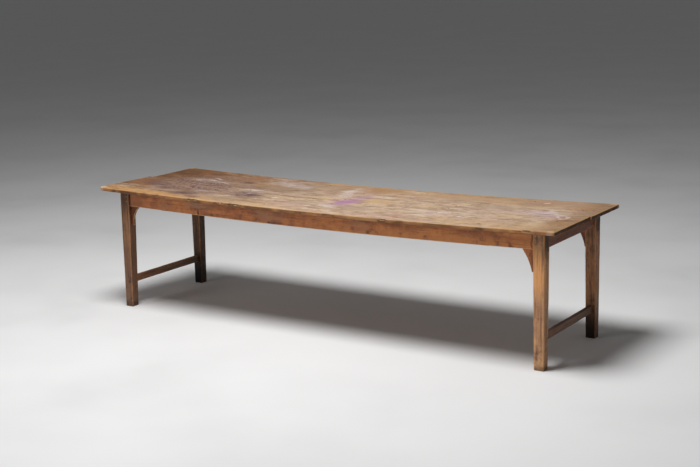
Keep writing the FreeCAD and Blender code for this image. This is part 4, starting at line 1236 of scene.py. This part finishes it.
class FARMTABLE_OT_pegs(bpy.types.Operator):
    """Drives the shaved pegs through the joints and finishes the hidden dowels"""

    bl_idname = "farmtable.pegs"
    bl_label = "Pegs and dowels"

    def shave_peg(self):
        """One faceted peg whose outer end looks along -Y, with its face plane at the origin."""
        fasteners = table().fasteners
        length, proud = fasteners.peg_length, fasteners.peg_proud
        deselect()
        bpy.ops.mesh.primitive_cylinder_add(
            vertices=fasteners.peg_facets, radius=PEG_RADIUS, depth=length,
            location=(0, length / 2 - proud, 0), rotation=(math.pi / 2, 0, 0))
        peg = bpy.context.object
        peg.name = "shaved_peg"
        apply_place()
        bpy.ops.object.mode_set(mode="EDIT")
        pick(peg, "FACE", lambda f: f.normal.y < -0.9)
        for share, depth in ((0.22, 0.0004), (0.35, 0.0002)):
            bpy.ops.mesh.inset(thickness=PEG_RADIUS * share, depth=depth)
        pick(peg, "FACE", lambda f: f.normal.y > 0.9)
        bpy.ops.transform.resize(value=(0.8, 1, 0.8), center_override=(0, length - proud, 0))
        bpy.ops.object.mode_set(mode="OBJECT")
        return peg

    def execute(self, context):
        colours, fasteners = table().frame, table().fasteners
        proud = fasteners.peg_proud
        inset = Vector((PEG_RADIUS,) * 3)
        front, back = (0, 0, 0), (0, 0, math.pi)
        leftward, rightward = (0, 0, -math.pi / 2), (0, 0, math.pi / 2)
        low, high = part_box("long_apron_pegs")
        rows = ((-high.y + proud, front), (high.y - proud, back))
        low, high = low + inset, high - inset
        groups = {"long_apron_pegs": [
            ((x, y, z), turn) for x in (low.x, high.x) for y, turn in rows for z in (low.z, high.z)]}
        for node in ("end_apron_pegs", "stretcher_pegs"):
            low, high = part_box(node)
            rows = ((low.x + proud, leftward), (high.x - proud, rightward))
            groups[node] = [((x, y, (low.z + high.z) / 2), turn) for x, turn in rows
                            for y in (low.y + PEG_RADIUS, high.y - PEG_RADIUS)]
        for node, places in groups.items():
            piece = repeat(self.shave_peg(), "shaved_" + node, places)
            stain = (colours.dark_brown, fasteners.peg_wood, colours.worn_wood)
            set_in_place(piece, plain_frame_finish(piece.name + "_finish", Y, stain))
        dowels = frame["nodes"]["board_dowels"]
        dowels.data.materials.clear()
        stain = (colours.dull_brown, fasteners.peg_wood, colours.worn_wood)
        dowels.data.materials.append(plain_frame_finish("dowel_wood", Y, stain))
        return {"FINISHED"}


class FARMTABLE_OT_nails(bpy.types.Operator):
    """Drives the forged nails through the top and the brackets"""

    bl_idname = "farmtable.nails"
    bl_label = "Nails"

    def forge_nail(self, length):
        """One nail that points down, with the upper side of its head at the origin."""
        head, shank = table().fasteners.nail_head, table().fasteners.nail_shank
        half = head / 2
        nail = start_block("forged_nail", (-half, -half, -NAIL_HEAD_THICKNESS), (half, half, 0))
        pick(nail, "FACE", lambda f: f.normal.z > 0.9)
        bpy.ops.transform.resize(value=(0.86, 0.86, 1), center_override=(0, 0, 0))
        bpy.ops.mesh.inset(thickness=head * 0.26, depth=0.0005)
        pick(nail, "FACE", lambda f: f.normal.z < -0.9)
        bpy.ops.mesh.inset(thickness=(head - shank) / 2, depth=0)
        for share in (0.8, 0.2):
            drop = (length - NAIL_HEAD_THICKNESS) * share
            bpy.ops.mesh.extrude_region_move(TRANSFORM_OT_translate={"value": (0, 0, -drop)})
        bpy.ops.transform.resize(value=(NAIL_POINT, NAIL_POINT, 1), center_override=(0, 0, -length))
        bpy.ops.object.mode_set(mode="OBJECT")
        return nail

    def drive_nails(self, node, length, places, finish):
        """Sets nails of one length at places with turns."""
        nails = repeat(self.forge_nail(length), "forged_" + node, places)
        set_in_place(nails, finish)

    def execute(self, context):
        half = table().fasteners.nail_head / 2
        face = UNDER_BOARDS + table().top.thickness + NAIL_PROUD
        finish = iron_finish("rusted_iron")
        low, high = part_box("top_nails")
        rows = [low.x + half, high.x - half]
        bearers = ("bearer_1", "bearer_2", "bearer_3")
        rows += [sum(corner.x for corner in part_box(name)) / 2 for name in bearers]
        seam = (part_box("top_board_front")[1].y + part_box("top_board_rear")[0].y) / 2
        across = (NAIL_ROW_FRONT, seam - NAIL_TO_SEAM, seam + NAIL_TO_SEAM, NAIL_ROW_REAR)
        spots = [(x, y) for x in rows for y in across]
        rows.sort()
        spots += [((first + second) / 2, y) for first, second in zip(rows, rows[1:])
                  for y in (half - high.y, high.y - half)]
        places = [((x, y, face + rise(x)), (0, math.atan(-slope(x)), 0.3 * number))
                  for number, (x, y) in enumerate(spots)]
        self.drive_nails("top_nails", TOP_NAIL, places, finish)

        low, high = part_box("bracket_nails")
        up, leftward, rightward = (math.pi, 0, 0), (0, math.pi / 2, 0), (0, -math.pi / 2, 0)
        sides = ((-1, FRONT_LEFT_LEG[1].x, leftward), (1, FRONT_RIGHT_LEG[0].x, rightward))
        places = []
        for side, leg_face, sideways in sides:
            centre, radius, end = bracket_hollow(side)
            up_x, level_z = leg_face - side * BRACKET_NAIL_OUT, taper_top() - BRACKET_NAIL_DOWN
            up_z = centre.y + math.sqrt(radius ** 2 - (up_x - centre.x) ** 2)
            level_x = centre.x + side * math.sqrt(radius ** 2 - (level_z - centre.y) ** 2)
            for y in (low.y + half, high.y - half):
                places += [((up_x, y, up_z), up), ((level_x, y, level_z), sideways)]
        self.drive_nails("bracket_nails", BRACKET_NAIL, places, finish)
        return {"FINISHED"}


class FARMTABLE_OT_stage(bpy.types.Operator):
    """Lays the floor and sets the light and the camera"""

    bl_idname = "farmtable.stage"
    bl_label = "Stage"

    def execute(self, context):
        stage = table().stage
        scene = context.scene
        deselect()
        bpy.ops.mesh.primitive_circle_add(vertices=128, radius=120, fill_type="NGON", location=(0, 0, 0))
        floor = context.object
        floor.name = "pale_floor"
        bpy.ops.object.mode_set(mode="EDIT")
        bpy.ops.mesh.inset(thickness=100, depth=0)
        bpy.ops.object.mode_set(mode="OBJECT")
        floor.data.materials.append(floor_finish("pale_floor_finish"))

        lamps = (("soft_overhead_lamp", (-0.2, -1.5, 5.6), stage.overhead_size, stage.overhead_power),
                 ("soft_side_lamp", (-3.6, -6.2, 2.8), stage.side_size, stage.side_power))
        aim = Vector((0, 0, 0.5))
        for name, place, size, power in lamps:
            bpy.ops.object.light_add(type="AREA", location=place)
            lamp = context.object
            lamp.name = name
            lamp.data.shape = "DISK"
            lamp.data.size = size
            lamp.data.energy = power
            lamp.rotation_euler = (aim - lamp.location).to_track_quat("-Z", "Y").to_euler()

        world = bpy.data.worlds.new("even_room")
        world.use_nodes = True
        background = world.node_tree.nodes["Background"]
        background.inputs["Color"].default_value = (1, 1, 1, 1)
        background.inputs["Strength"].default_value = stage.room_light
        scene.world = world
        scene.view_settings.view_transform = "Standard"

        yaw, pitch, roll = math.radians(32.556), math.radians(11.810), math.radians(-1.208)
        bpy.ops.object.camera_add(location=(4.2750, -6.6385, 2.1808))
        camera = context.object
        camera.name = "view_from_front_right"
        camera.data.sensor_fit = "HORIZONTAL"
        camera.data.sensor_width = 36
        camera.data.lens = 69.85
        across = Vector((math.cos(yaw), math.sin(yaw), 0))
        ahead = Vector((-math.sin(yaw), math.cos(yaw), 0))
        up = Vector((0, 0, 1))
        forward = math.cos(pitch) * ahead - math.sin(pitch) * up
        upward = math.sin(pitch) * ahead + math.cos(pitch) * up
        right = math.cos(roll) * across + math.sin(roll) * upward
        top = -math.sin(roll) * across + math.cos(roll) * upward
        camera.rotation_euler = Matrix((right, top, -forward)).transposed().to_euler()
        scene.camera = camera
        return {"FINISHED"}


OPERATORS = (FARMTABLE_OT_top_boards, FARMTABLE_OT_legs, FARMTABLE_OT_long_aprons, FARMTABLE_OT_end_aprons,
             FARMTABLE_OT_brackets, FARMTABLE_OT_stretchers, FARMTABLE_OT_bearers, FARMTABLE_OT_pegs,
             FARMTABLE_OT_nails, FARMTABLE_OT_stage)


class FARMTABLE_PT_build(bpy.types.Panel):
    """Lists the steps and settings of the table"""

    bl_idname = "FARMTABLE_PT_build"
    bl_label = "Farmhouse table"
    bl_space_type = "VIEW_3D"
    bl_region_type = "UI"
    bl_category = "Farmhouse table"

    def draw(self, context):
        layout = self.layout
        for step in OPERATORS:
            layout.operator(step.bl_idname)
        settings = context.scene.farmhouse_table
        for group in (settings.top, settings.frame, settings.fasteners, settings.stage):
            box = layout.box()
            for name in group.__annotations__:
                box.prop(group, name)


CLASSES = (TopSettings, FrameSettings, FastenerSettings, StageSettings, TableSettings, *OPERATORS,
           FARMTABLE_PT_build)


def register():
    """Adds the settings, steps and panel to Blender."""
    for item in CLASSES:
        bpy.utils.register_class(item)
    bpy.types.Scene.farmhouse_table = PointerProperty(type=TableSettings)


def unregister():
    """Takes the settings, steps and panel out of Blender."""
    del bpy.types.Scene.farmhouse_table
    for item in reversed(CLASSES):
        bpy.utils.unregister_class(item)


def main():
    """Builds the table."""
    register()
    bpy.ops.farmtable.top_boards()
    bpy.ops.farmtable.legs()
    bpy.ops.farmtable.long_aprons()
    bpy.ops.farmtable.end_aprons()
    bpy.ops.farmtable.brackets()
    bpy.ops.farmtable.stretchers()
    bpy.ops.farmtable.bearers()
    bpy.ops.farmtable.pegs()
    bpy.ops.farmtable.nails()
    bpy.ops.farmtable.stage()
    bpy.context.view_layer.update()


if __name__ == "__main__":
    main()
